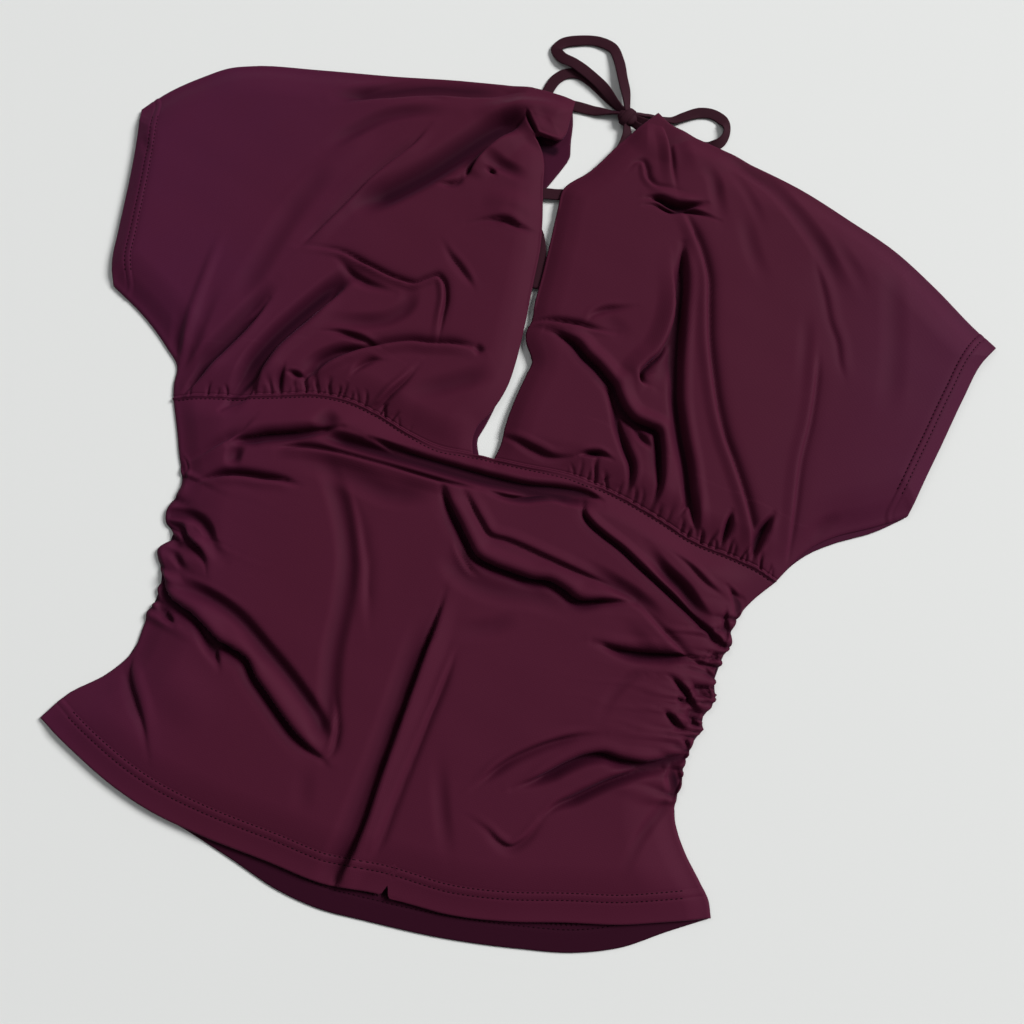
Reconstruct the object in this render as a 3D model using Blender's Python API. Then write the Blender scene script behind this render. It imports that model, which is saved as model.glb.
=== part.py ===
"""A short batwing top with a tied neck, laid flat on its back with its front up.

The cloth is a thin wall. Each panel is a sheet of points between the edge curves
that a maker would cut, lifted to a height that is the sum of the panel's folds,
gathers and ruching. The back panels lie flat on the table and the front panels
rest on them, 0.3 mm clear. X runs from cuff to cuff, with the wearer's left at +X,
Y runs from the hem to the neck, and Z is up. Tables and sizes are in millimetres.
"""

from collections import namedtuple

import bpy
import numpy as np

MM = 0.001

# The cloth and how it lies
WALL = 1.2
GAP = 0.3
FRONT_REST = WALL + GAP
LOFT = 3.8
LOFT_REACH = 22.0
SEWN_REACH = 7.0
SEWN_PUCKER = 0.3
FLOOR_SOFTNESS = 0.8
FLOOR_SETTLE = 0.2
STEEPEST_WALL = 1.9
SLOPE_STEP = 0.5

# The neck ties, narrow flat tubes of the same cloth
TIE_WIDTH = 7.0
TIE_THICKNESS = 1.6
TIE_RING_STEP = 5.5
TIE_SIDES = 8
KNOT_CENTRE = (23.0, 243.0, 3.3)
KNOT_HALF_SIZE = (8.0, 6.5, 3.1)
KNOT_RINGS = 9
KNOT_SIDES = 16
KNOT_WAIST_DEPTH = 0.10
KNOT_WAIST_WIDTH = 0.35
TUCK_CORE = 11.0
TUCK_REACH = 24.0
TUCK_LIFT_BACK = TIE_THICKNESS + 2 * GAP
TUCK_LIFT_FRONT = TIE_THICKNESS + 2.5 * GAP

# Gathers of the bodice along the waist seam, with a smooth stretch either side of the slit
GATHER_PITCH = 8.6
GATHER_HEIGHT = 2.8
GATHER_RUN = 13.0
GATHER_LEAN = 0.25
SLIT_FOOT_X = 1.0
SMOOTH_HALF_WIDTH = 48.0
GATHER_START = 16.0

# Ruching along the sides of the lower panels
RUCHE_PITCH = 9.4
RUCHE_HEIGHT = 3.4
RUCHE_RUN = 15.0
RUCHE_SPAN = (-142.0, -42.0)
RUCHE_START = 10.0
RUCHE_LEAN = 0.2
RUCHED_HALF_WIDTH = 154.0

# How a row of crests is made uneven: the length and the size of each swing
CREST_SWINGS = ((13.0, 0.22), (5.3, 0.13))

# A fold starts at this share of its height and is full after this share of its length
FOLD_END_HEIGHT = 0.35
FOLD_EASE = 0.22

# Edge curves: x and y of each point, in order along the edge
WAIST_SEAM = (
    (-186, -6), (-172, -1), (-150, 5), (-125, 13), (-105, 19), (-88, 20.5), (-68, 17.5),
    (-48, 11.5), (-28, 8), (-8, 9.5), (20, 10.7), (54, 12.7), (80, 8.7), (103, 2.5),
    (125, -4.5), (152, -8), (166, -10.5), (177, -14),
)
SHOULDER_RIGHT = (
    (-11, 246), (-36, 247), (-80, 241), (-126, 231.5), (-172, 223), (-212, 214.5),
    (-226, 209), (-240, 198.5), (-260, 179), (-269, 166),
)
CUFF_RIGHT = ((-269, 166), (-263.5, 144), (-259, 121), (-253, 84), (-249.5, 64), (-244, 50))
UNDERARM_RIGHT = ((-244, 50), (-220, 37), (-200, 22), (-190.5, 13), (-188.5, 2), (-186, -6))
SHOULDER_LEFT = (
    (41, 250), (50, 244.5), (64, 241.5), (100, 234.6), (140, 225), (170, 214), (200, 202),
    (230, 184), (255, 166.5), (270.5, 157),
)
CUFF_LEFT = ((270.5, 157), (263.5, 144.5), (257, 120), (250, 88), (245, 66), (240, 42))
UNDERARM_LEFT = ((240, 42), (223, 31), (201, 18), (190, 8), (182.5, -3), (177, -14))
SLIT_RIGHT = (
    (-8, 9.5), (-10.5, 18), (-10, 26), (-6, 34), (-2.5, 43), (0, 54), (0.6, 70), (-0.4, 90),
    (-3, 120), (-5.5, 146), (-8.7, 161), (-15, 185), (-20.5, 205), (-15, 213), (-11, 222), (-11, 246),
)
SLIT_LEFT = (
    (4.6, 10), (6, 20), (5.4, 30), (6.6, 50), (8.6, 64), (9.6, 73), (6.5, 78), (2.5, 84), (1.3, 90),
    (2.6, 97), (1.4, 106), (0.8, 125), (-0.6, 150), (-2, 172), (-2.4, 183), (10.8, 201), (24, 225), (41, 250),
)
SIDE_RIGHT = (
    (-186, -6), (-177, -24), (-168, -42), (-161, -58), (-157, -82), (-154, -108), (-155, -125),
    (-157, -150), (-165, -164), (-184, -183), (-193, -198),
)
SIDE_LEFT = (
    (177, -14), (167, -29), (159.5, -42), (157, -55), (155, -72), (154, -90), (152, -110),
    (150.5, -125), (150.5, -141), (153.5, -155), (161.5, -168), (174, -182), (180, -189), (183.5, -197.5),
)
HEM_FRONT = (
    (-193, -198), (-169, -209.5), (-141, -221), (-120, -227), (-90, -231.5), (-50, -234.5),
    (-15, -237), (10, -234), (50, -233.5), (80, -228.5), (110, -220.5), (140, -213), (160, -206),
    (183.5, -197.5),
)
HEM_BACK = (
    (-193, -198), (-169, -209.5), (-141, -221), (-120, -227), (-100, -231), (-69, -239), (-38, -247.5),
    (-16, -250), (8, -249), (50, -246), (90, -240), (120, -233.5), (142, -224.5), (163, -210.5),
    (183.5, -197.5),
)
BACK_SLIT_RIGHT = (
    (-4.5, 10), (-8, 19.5), (-6.2, 27), (-4.5, 36), (-2.8, 48), (-2, 62), (-2.4, 90), (-5, 120),
    (-7.5, 146), (-12, 165), (-15.5, 180), (-12, 186), (-7, 199), (-4.3, 208.5), (-6, 216), (-8.5, 231),
    (-13, 245),
)
BACK_SLIT_LEFT = (
    (6, 10), (7.5, 20), (7, 32), (8.2, 52), (11, 66), (11.5, 76), (5, 88), (4, 110), (2.5, 140),
    (1, 170), (0, 184), (14, 201), (31, 221), (45, 232), (54, 243),
)

# How far the ruched side bulges out, and over what half height: y, out, half_height
RUCHE_BULGES_RIGHT = ((-68, 4.5, 11), (-92, 5.0, 9))
RUCHE_BULGES_LEFT = ((-55, 2.5, 7), (-67, 1.5, 4), (-87, 4.0, 8), (-104, 2.5, 5))

# Folds of the front: the line of each, then its height, half width and steepness.
# A height below 0 is a valley. Steepness runs from -1 to 1, and above 0 the right
# side of the line, seen along it, is the steep one.
Fold = namedtuple("Fold", "line height half_width steepness")
FOLDS = (
    # Lower panel, under the waist seam
    Fold(((-80, 13), (-20, 4), (30, 6), (76, 8)), 4.0, 10, 0.3),
    Fold(((-95, -8), (-20, -6), (30, -3), (58, 1)), -3.5, 10, 0.0),
    Fold(((-145, -38), (-131, -17), (-95, -2)), -4.5, 11, 0.0),
    Fold(((-160, -52), (-140, -43), (-98, -36)), -3.5, 10, 0.0),
    Fold(((-14, -15), (15, -42), (60, -44), (106, -48), (148, -70)), 6.0, 13, 0.2),
    Fold(((-14, -24), (6, -46), (35, -53), (70, -55), (100, -53)), -4.5, 12, 0.0),
    Fold(((65, -8), (105, -27), (153, -57)), -4.5, 12, 0.0),
    Fold(((90, -77), (115, -75), (147, -71)), -4.5, 10, 0.0),
    # Lower panel, long folds down to the hem
    Fold(((-155, -108), (-120, -122), (-85, -138), (-36, -172)), 7.5, 15, 0.2),
    Fold(((-150, -116), (-100, -142), (-42, -184)), -4.0, 12, 0.0),
    Fold(((-145, -104), (-95, -115), (-44, -154)), -3.0, 12, 0.0),
    Fold(((-83, -25), (-60, -60), (-48, -115), (-38, -160)), -2.5, 12, 0.0),
    Fold(((2, -75), (2, -150), (-1, -236)), 5.0, 12, 0.2),
    Fold(((-4, -100), (-8, -170), (-15, -237)), -4.0, 12, 0.0),
    Fold(((-157, -155), (-145, -178), (-127, -203)), -4.0, 13, 0.0),
    Fold(((46, -172), (70, -140), (101, -124)), -2.5, 10, 0.0),
    Fold(((66, -164), (95, -138), (149, -121)), -5.0, 12, 0.0),
    Fold(((58, -190), (78, -188), (100, -160), (148, -132)), -4.0, 12, 0.0),
    # Right bodice half
    Fold(((-150, 203), (-100, 229), (-40, 240)), -5.0, 9, 0.0),
    Fold(((-42, 222), (-78, 188), (-122, 134)), -6.5, 14, 0.0),
    Fold(((-152, 168), (-125, 195), (-80, 214)), -3.0, 9, 0.0),
    Fold(((-93, 195), (-120, 155), (-143, 104)), 3.0, 9, -0.4),
    Fold(((-140, 107), (-100, 107), (-62, 104)), 3.0, 9, 0.4),
    Fold(((-112, 99), (-98, 93), (-82, 91)), -4.0, 9, 0.0),
    Fold(((-152, 66), (-162, 38), (-181, 2)), -5.0, 8, 0.0),
    Fold(((-115, 76), (-135, 50), (-146, 7)), -7.0, 9, 0.0),
    Fold(((-84, 50), (-106, 40), (-112, 19)), -5.0, 8, 0.0),
    Fold(((-68, 19), (-61, 39), (-50, 58)), 3.0, 8, 0.0),
    Fold(((-42, 34), (-24, 50), (-6, 60)), -2.5, 11, 0.0),
    Fold(((-40, 228), (-26, 219), (-12, 214)), 6.0, 9, 0.5),
    # Left bodice half
    Fold(((44, 240), (50, 225), (56, 205)), 4.0, 10, -0.4),
    Fold(((50, 189.5), (68, 190), (88, 192)), -5.0, 8, 0.0),
    Fold(((70, 172), (82, 142), (88, 108), (104, 60), (127, 3)), -8.0, 9, 0.0),
    Fold(((76, 186), (98, 138), (122, 72), (157, 8)), -3.0, 8, 0.0),
    Fold(((4, 95), (38, 98), (72, 80)), 5.0, 9, 0.4),
    Fold(((14, 90), (52, 79), (70, 60), (94, 50)), -5.5, 9, 0.0),
    Fold(((62, 58), (76, 40), (83, 14)), -4.5, 8, 0.0),
    Fold(((117, 222), (146, 199), (172, 165)), -4.0, 10, 0.0),
    Fold(((167, 26), (163, 8), (160, -6)), -4.0, 8, 0.0),
    Fold(((172, 116), (174, 60), (180, 0)), -2.5, 8, 0.0),
)

# Sheet lines: how far along the panel each lies, 0 to 1, and how many points it has
BODICE_LINES = (
    (0.0, 61), (0.016, 61), (0.036, 61), (0.062, 46), (0.10, 34), (0.15, 28), (0.205, 28), (0.26, 28),
    (0.31, 28), (0.37, 28), (0.44, 27), (0.51, 26), (0.58, 26), (0.65, 26), (0.72, 26), (0.78, 26),
    (0.84, 26), (0.89, 26), (0.93, 26), (0.965, 26), (1.0, 26),
)
LOWER_SIDE_LINES = ((0.0, 57), (0.014, 57), (0.034, 52), (0.06, 38), (0.095, 28))
LOWER_MIDDLE_LINES = 28
LOWER_MIDDLE_POINTS = 25
BACK_BODICE_LINES = (
    (0.0, 20), (0.15, 16), (0.30, 16), (0.45, 16), (0.60, 16), (0.74, 20), (0.84, 24), (0.91, 26),
    (0.96, 26), (1.0, 26),
)
BACK_LOWER_SIDE_LINES = ((0.0, 27), (0.02, 14), (0.045, 7), (0.07, 4))
BACK_LOWER_MIDDLE_LINES = 30
BACK_LOWER_MIDDLE_POINTS = 3

# Ties: x, y and z of the line's middle, then the share of the full width there
TIE_ROUTES = {
    "tie_strap_right": (
        (-10.5, 243.0, 1.6, 1), (-6, 242.9, 1.1, 1), (-1, 242.9, 1.0, 1), (6, 243.4, 1.2, 0.91),
        (11, 244.0, 2.0, 0.66), (14.6, 244.2, 3.0, 0.54),
    ),
    "tie_strap_left": (
        (31.4, 243.2, 3.0, 0.51), (35, 243.4, 2.2, 0.51), (40, 243.4, 1.2, 0.54), (44.4, 243.2, 1.0, 0.54),
    ),
    "tie_loop_right": (
        (20.6, 250.4, 4.8, 0.6), (17.5, 259, 4.6, 0.86), (13, 269, 3.6, 0.94), (7.5, 281, 2.4, 0.97),
        (2, 288.5, 1.6, 1),
        (-8, 291, 1.2, 1), (-20, 288.5, 1.1, 1), (-30, 283, 1.4, 1), (-32.5, 278, 2.0, 0.94),
        (-28, 273, 3.0, 0.97), (-18, 270, 3.6, 1), (-7, 265, 3.6, 1), (3, 259, 3.6, 0.94),
        (10.5, 252.6, 3.8, 0.74), (14.9, 248.6, 4.2, 0.6),
    ),
    "tie_loop_left": (
        (30.2, 247.2, 3.0, 0.51), (36, 248.4, 1.6, 0.51), (43, 248.6, 1.0, 0.54), (50, 249.4, 1.0, 0.8),
        (57, 254.5, 1.0, 0.94), (65, 259.6, 1.0, 1), (73.5, 261, 1.0, 1), (81, 258, 1.0, 1),
        (84.6, 251, 1.0, 1), (83, 243.5, 1.0, 0.97), (77, 238.6, 1.0, 0.89), (66, 237.6, 1.0, 0.77),
        (54, 238.2, 1.0, 0.63), (44, 238.6, 1.0, 0.54), (36, 238.8, 1.8, 0.51), (30.4, 239.0, 3.0, 0.51),
    ),
    "tie_end_right": (
        (16.6, 248.4, 1.9, 0.51), (11.5, 251.4, 1.1, 0.69), (4, 257, 1.0, 0.94), (-5, 262.4, 1.0, 1),
        (-13.5, 265.5, 1.0, 1), (-21.5, 263.6, 1.0, 1), (-27, 257.5, 1.0, 1), (-29.3, 250, 1.0, 1),
        (-30.2, 240, 1.0, 1), (-31, 230, 1.0, 1),
    ),
    "tie_end_left": (
        (24.6, 236.2, 2.7, 0.66), (26, 231.5, 2.6, 0.91), (25.5, 222, 2.8, 1), (21, 207, 2.6, 1),
        (12, 193, 2.5, 1), (4, 184, 2.5, 1), (-5, 180.8, 2.5, 1), (-14, 178.5, 2.5, 1),
        (-19, 171, 2.5, 1), (-16, 161, 2.5, 1), (-9, 152, 2.5, 1), (-4.5, 142, 2.5, 1),
        (-2, 130, 2.5, 1), (-0.6, 118, 2.5, 1),
    ),
}
# Stretches where a tie lies under the back, or between back and front: x and y
UNDER_BACK = (
    ((86, 246), (77, 238.6), (66, 237.6), (54, 238.2), (46, 238.6)),
    ((-29.4, 250), (-30.2, 240), (-31, 229)),
)
UNDER_FRONT = (
    (
        (26, 230), (26, 222), (21, 207), (12, 193), (4, 184), (-14, 178.5), (-18, 170), (-9, 152), (-2, 130),
        (-0.6, 117),
    ),
    ((34, 244), (46, 243.5)),
)

COLOURS = {
    "bodice": (0.065, 0.014, 0.028, 1.0),
    "lower": (0.060, 0.012, 0.026, 1.0),
    "back": (0.045, 0.009, 0.020, 1.0),
    "tie": (0.055, 0.012, 0.024, 1.0),
}
ROUGHNESS = 0.62


def clear_scene():
    """Removes every object that the file opened with."""
    for item in list(bpy.data.objects):
        bpy.data.objects.remove(item, do_unlink=True)


def cloth_material(name):
    """A plain matt cloth in the colour of that name."""
    material = bpy.data.materials.new(name)
    material.use_nodes = True
    shader = material.node_tree.nodes["Principled BSDF"]
    shader.inputs["Base Color"].default_value = COLOURS[name]
    shader.inputs["Roughness"].default_value = ROUGHNESS
    shader.inputs["Metallic"].default_value = 0.0
    return material


def smooth_curve(points, per_step=14):
    """Dense points on a smooth curve through the points given, in any number of columns."""
    points = np.array(points, float)
    rises = np.diff(points, axis=0)
    steps = np.linalg.norm(rises[:, :2], axis=1)[:, None]
    slopes = rises / steps
    inner = (slopes[:-1] * steps[1:] + slopes[1:] * steps[:-1]) / (steps[:-1] + steps[1:])
    tangents = np.vstack([slopes[:1], inner, slopes[-1:]])
    t = np.linspace(0, 1, per_step, endpoint=False)[None, :, None]
    first, last = points[:-1, None], points[1:, None]
    leave, arrive = (tangents[:-1] * steps)[:, None], (tangents[1:] * steps)[:, None]
    blend = (
        (2 * t**3 - 3 * t**2 + 1) * first + (t**3 - 2 * t**2 + t) * leave
        + (3 * t**2 - 2 * t**3) * last + (t**3 - t**2) * arrive
    )
    return np.vstack([blend.reshape(-1, points.shape[1]), points[-1:]])


def along(curve, share):
    """Points of a dense curve at the given shares of its length."""
    run = np.concatenate([[0], np.cumsum(np.linalg.norm(np.diff(curve[:, :2], axis=0), axis=1))])
    wanted = np.asarray(share) * run[-1]
    return np.stack([np.interp(wanted, run, column) for column in curve.T], -1)


def smoothstep(value):
    """Eases from 0 to 1 as the value does."""
    value = np.clip(value, 0, 1)
    return value * value * (3 - 2 * value)


def nearest_on(curve, x, y):
    """Distance to a dense curve, which side of it, and the share of its length there."""
    start, step = curve[:-1, :2], np.diff(curve[:, :2], axis=0)
    from_start = np.stack([x, y], -1)[:, None, :] - start
    share = np.clip((from_start * step).sum(-1) / (step**2).sum(-1), 0, 1)
    offset = from_start - share[..., None] * step
    distance = np.linalg.norm(offset, axis=-1)
    best = distance.argmin(axis=1)
    rows = np.arange(len(best))
    side = step[best, 0] * offset[rows, best, 1] - step[best, 1] * offset[rows, best, 0]
    run = (best + share[rows, best]) / len(step)
    return distance[rows, best], np.sign(side), run


def fold_height(fold, x, y):
    """A bell across the fold's line, narrower on its steep side, easing out at both ends."""
    distance, side, run = nearest_on(smooth_curve(fold.line, 6), x, y)
    reach = fold.half_width * (1 + side * fold.steepness)
    bell = np.where(distance < reach, 0.5 + 0.5 * np.cos(np.pi * distance / reach), 0)
    ease = FOLD_END_HEIGHT + (1 - FOLD_END_HEIGHT) * smoothstep(np.minimum(run, 1 - run) / FOLD_EASE)
    return fold.height * bell * ease


def wave(place, pitch):
    """An uneven row of rounded crests, one in about each pitch, from 0 to 1."""
    phase = place / pitch + sum(swing * np.sin(place / length) for length, swing in CREST_SWINGS)
    return 0.5 + 0.5 * np.cos(2 * np.pi * phase)


def gather_height(x, y):
    """Crests that leave the waist seam upward and fade, with a smooth stretch at the slit."""
    above = y - np.interp(x, SEAM_CURVE[:, 0], SEAM_CURVE[:, 1])
    present = smoothstep((np.abs(x - SLIT_FOOT_X) - SMOOTH_HALF_WIDTH) / GATHER_START) * (above > -GAP)
    lean = x + GATHER_LEAN * np.sign(x) * above
    return GATHER_HEIGHT * present * wave(lean, GATHER_PITCH) * np.exp(-np.maximum(above, 0) / GATHER_RUN)


def ruche_height(x, y):
    """Crests that run in from the ruched sides of the lower panel and fade."""
    low, high = RUCHE_SPAN
    present = smoothstep((y - low) / RUCHE_START) * smoothstep((high - y) / RUCHE_START)
    middle = 0.5 * (SIDE_RIGHT[5][0] + SIDE_LEFT[6][0])
    inward = np.maximum(RUCHED_HALF_WIDTH - np.abs(x - middle), 0)
    lean = y + RUCHE_LEAN * inward
    return RUCHE_HEIGHT * present * wave(lean, RUCHE_PITCH) * np.exp(-inward / RUCHE_RUN)


def tuck_height(lines, lift, x, y):
    """A low flat-topped rise over the ties that lie underneath."""
    height = np.zeros_like(x)
    for line in lines:
        distance = nearest_on(smooth_curve(line, 6), x, y)[0]
        height = np.maximum(height, lift * smoothstep((TUCK_REACH - distance) / (TUCK_REACH - TUCK_CORE)))
    return height


def back_height(x, y):
    """The back lies flat but for the ties tucked under its shoulders."""
    return tuck_height(UNDER_BACK, TUCK_LIFT_BACK, x, y)


def front_height(x, y):
    """The front's rise above its rest: air under it, its folds, gathers and ruching."""
    loft = LOFT * smoothstep(nearest_on(OUTLINE, x, y)[0] / LOFT_REACH)
    sewn = np.minimum(nearest_on(CLOSED_RIGHT, x, y)[0], nearest_on(CLOSED_LEFT, x, y)[0])
    free = smoothstep(sewn / SEWN_REACH)
    folds = sum(fold_height(fold, x, y) for fold in FOLDS)
    puckers = gather_height(x, y) + ruche_height(x, y)
    height = loft + free * folds + (SEWN_PUCKER + (1 - SEWN_PUCKER) * free) * puckers
    height = 0.5 * (height + np.sqrt(height**2 + FLOOR_SOFTNESS)) - FLOOR_SETTLE
    height = np.maximum(height, tuck_height(UNDER_FRONT, TUCK_LIFT_FRONT, x, y))
    return np.maximum(height, 0) + back_height(x, y)


def fitted(curve, start, end):
    """The curve moved a little, more towards each end, to run from start to end exactly."""
    share = np.linspace(0, 1, len(curve))[:, None]
    return curve + (1 - share) * (start - curve[0]) + share * (end - curve[-1])


def coons(bottom, top, left, right, u, v):
    """The point at shares u across and v up a patch between four dense edge curves."""
    left = fitted(left, bottom[0], top[0])
    right = fitted(right, bottom[-1], top[-1])
    low, high = along(bottom, u), along(top, u)
    near, far = along(left, v), along(right, v)
    v = np.asarray(v)[..., None]
    u = np.asarray(u)[..., None]
    corners = (
        (1 - u) * (1 - v) * bottom[0] + u * (1 - v) * bottom[-1]
        + (1 - u) * v * top[0] + u * v * top[-1]
    )
    return (1 - v) * low + v * high + (1 - u) * near + u * far - corners


def stitch_lines(counts):
    """Triangles between neighbouring lines of points, whatever number each line has."""
    triangles = []
    start = 0
    for here, there in zip(counts[:-1], counts[1:]):
        a, b = 0, 0
        following = start + here
        while a < here - 1 or b < there - 1:
            step_here = b == there - 1 or (a < here - 1 and (a + 1) / (here - 1) <= (b + 1) / (there - 1))
            if step_here:
                triangles.append((start + a, start + a + 1, following + b))
                a += 1
            else:
                triangles.append((start + a, following + b + 1, following + b))
                b += 1
        start = following
    return triangles


def border_of(counts):
    """The points round a sheet of lines, in order."""
    starts = np.concatenate([[0], np.cumsum(counts)[:-1]])
    first = list(range(counts[0]))
    far = [int(start + count - 1) for start, count in zip(starts[1:-1], counts[1:-1])]
    last = [int(starts[-1] + i) for i in reversed(range(counts[-1]))]
    near = [int(start) for start in reversed(starts[1:-1])]
    return first + far + last + near


def make_wall(name, lines, height_of, rest, material):
    """A closed wall of cloth over the sheet of lines, with its underside at rest plus height."""
    counts = [len(line) for line in lines]
    x, y = np.vstack(lines).T
    height = height_of(x, y)
    slope_x = (height_of(x + SLOPE_STEP, y) - height_of(x - SLOPE_STEP, y)) / (2 * SLOPE_STEP)
    slope_y = (height_of(x, y + SLOPE_STEP) - height_of(x, y - SLOPE_STEP)) / (2 * SLOPE_STEP)
    wall = WALL * np.minimum(np.sqrt(1 + slope_x**2 + slope_y**2), STEEPEST_WALL)
    under = np.stack([x, y, rest + height], -1)
    over = under + np.stack([0 * x, 0 * x, wall], -1)
    count = len(x)
    triangles = stitch_lines(counts)
    border = border_of(counts)
    a, b, c = triangles[0]
    turn = (x[b] - x[a]) * (y[c] - y[a]) - (y[b] - y[a]) * (x[c] - x[a])
    if turn < 0:
        triangles = [(i, k, j) for i, j, k in triangles]
        border = border[::-1]
    faces = [(i + count, j + count, k + count) for i, j, k in triangles]
    faces += [(i, k, j) for i, j, k in triangles]
    faces += [(i, j, j + count, i + count) for i, j in zip(border, border[1:] + border[:1])]
    add_object(name, np.vstack([under, over]), faces, material)


def add_object(name, points, faces, material):
    """Adds one named object made of the points, given in millimetres."""
    mesh = bpy.data.meshes.new(name)
    mesh.from_pydata((points * MM).tolist(), [], [tuple(int(i) for i in face) for face in faces])
    mesh.materials.append(material)
    mesh.update()
    mesh.shade_smooth()
    mesh.set_sharp_from_angle(angle=0.7)
    bpy.context.scene.collection.objects.link(bpy.data.objects.new(name, mesh))


def ruched_side(points, bulges, outward):
    """A side edge with the bulges of its ruching added."""
    curve = smooth_curve(points)
    for y, out, half_height in bulges:
        curve[:, 0] += outward * out * np.exp(-(((curve[:, 1] - y) / half_height) ** 2) * 1.5)
    return curve


def joined(*curves):
    """Curves that follow on from one another as one, with each shared point once."""
    return np.vstack([curves[0]] + [curve[1:] for curve in curves[1:]])


def seam_between(low_x, high_x, shift):
    """The stretch of the waist seam between two places, moved up or down by the shift."""
    x = np.linspace(low_x, high_x, 160)
    return np.stack([x, np.interp(x, SEAM_CURVE[:, 0], SEAM_CURVE[:, 1]) + shift], -1)


def bodice_half(name, table, edges, height_of, rest, material):
    """One half of the bodice, from the waist seam up to the shoulder."""
    seam, shoulder, slit, sleeve = edges
    lines = [
        coons(seam, shoulder, slit, sleeve, np.linspace(0, 1, count), np.full(count, v)) for v, count in table
    ]
    make_wall(name, lines, height_of, rest, material)


def lower_panel(name, table, edges, height_of, rest, material):
    """A lower panel, from side to side, each of its lines running down from the waist seam."""
    seam, hem, right, left = edges
    lines = [coons(seam, hem, right, left, np.full(count, u), np.linspace(0, 1, count)) for u, count in table]
    make_wall(name, lines, height_of, rest, material)


def lower_lines(side_lines, middle_lines, middle_points):
    """Lines close together, of many points, along the ruched sides and wider apart between."""
    first, last = side_lines[-1][0], 1 - side_lines[-1][0]
    middle = [(u, middle_points) for u in np.linspace(first, last, middle_lines)[1:-1]]
    return list(side_lines) + middle + [(1 - u, count) for u, count in reversed(side_lines)]


def tie(name, route, material):
    """A flat tie: oval rings along the route, each across the direction it runs in."""
    curve = smooth_curve(route)
    length = np.linalg.norm(np.diff(curve[:, :3], axis=0), axis=1).sum()
    rings = max(4, int(round(length / TIE_RING_STEP)) + 1)
    middle = along(curve, np.linspace(0, 1, rings))
    forward = np.gradient(middle[:, :3], axis=0)
    forward /= np.linalg.norm(forward, axis=1)[:, None]
    across = np.cross(forward, (0, 0, 1))
    across /= np.linalg.norm(across, axis=1)[:, None]
    upward = np.cross(across, forward)
    turn = 2 * np.pi * np.arange(TIE_SIDES) / TIE_SIDES
    oval = (
        middle[:, None, :3]
        + across[:, None] * (0.5 * TIE_WIDTH * middle[:, 3:, None] * np.cos(turn)[None, :, None])
        + upward[:, None] * (0.5 * TIE_THICKNESS * np.sin(turn)[None, :, None])
    )
    points = oval.reshape(-1, 3)
    faces = [tuple(range(TIE_SIDES))]
    for ring in range(rings - 1):
        for k in range(TIE_SIDES):
            here, beside = ring * TIE_SIDES + k, ring * TIE_SIDES + (k + 1) % TIE_SIDES
            faces.append((here, here + TIE_SIDES, beside + TIE_SIDES, beside))
    faces.append(tuple(reversed(range((rings - 1) * TIE_SIDES, rings * TIE_SIDES))))
    add_object(name, points, faces, material)


def knot(name, material):
    """The bow's knot, a rounded lump with a waist across it where the tie wraps round."""
    tilt = np.linspace(0, np.pi, KNOT_RINGS + 2)[1:-1, None]
    turn = 2 * np.pi * np.arange(KNOT_SIDES)[None, :] / KNOT_SIDES
    unit = np.stack([np.sin(tilt) * np.cos(turn), np.sin(tilt) * np.sin(turn), np.cos(tilt) + 0 * turn], -1)
    wrap = 1 - KNOT_WAIST_DEPTH * np.exp(-((unit[..., 0] / KNOT_WAIST_WIDTH) ** 2))
    points = np.vstack([[(0, 0, 1)], (unit * wrap[..., None]).reshape(-1, 3), [(0, 0, -1)]])
    points = points * KNOT_HALF_SIZE + KNOT_CENTRE
    faces = [(0, 1 + k, 1 + (k + 1) % KNOT_SIDES) for k in range(KNOT_SIDES)]
    for ring in range(KNOT_RINGS - 1):
        for k in range(KNOT_SIDES):
            here, beside = 1 + ring * KNOT_SIDES + k, 1 + ring * KNOT_SIDES + (k + 1) % KNOT_SIDES
            faces.append((here, here + KNOT_SIDES, beside + KNOT_SIDES, beside))
    last, base = len(points) - 1, 1 + (KNOT_RINGS - 1) * KNOT_SIDES
    faces += [(last, base + (k + 1) % KNOT_SIDES, base + k) for k in range(KNOT_SIDES)]
    add_object(name, points, faces, material)


SEAM_CURVE = smooth_curve(WAIST_SEAM)
SLEEVE_RIGHT = joined(smooth_curve(UNDERARM_RIGHT)[::-1], smooth_curve(CUFF_RIGHT)[::-1])
SLEEVE_LEFT = joined(smooth_curve(UNDERARM_LEFT)[::-1], smooth_curve(CUFF_LEFT)[::-1])
LOWER_RIGHT = ruched_side(SIDE_RIGHT, RUCHE_BULGES_RIGHT, -1)
LOWER_LEFT = ruched_side(SIDE_LEFT, RUCHE_BULGES_LEFT, 1)
CLOSED_RIGHT = joined(
    smooth_curve(SHOULDER_RIGHT), smooth_curve(CUFF_RIGHT), smooth_curve(UNDERARM_RIGHT), LOWER_RIGHT
)
CLOSED_LEFT = joined(
    smooth_curve(SHOULDER_LEFT), smooth_curve(CUFF_LEFT), smooth_curve(UNDERARM_LEFT), LOWER_LEFT
)
OUTLINE = joined(
    smooth_curve(SLIT_RIGHT), smooth_curve(SHOULDER_RIGHT), smooth_curve(CUFF_RIGHT),
    smooth_curve(UNDERARM_RIGHT), LOWER_RIGHT, smooth_curve(HEM_FRONT), LOWER_LEFT[::-1], SLEEVE_LEFT,
    smooth_curve(SHOULDER_LEFT)[::-1], smooth_curve(SLIT_LEFT)[::-1],
)


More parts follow.
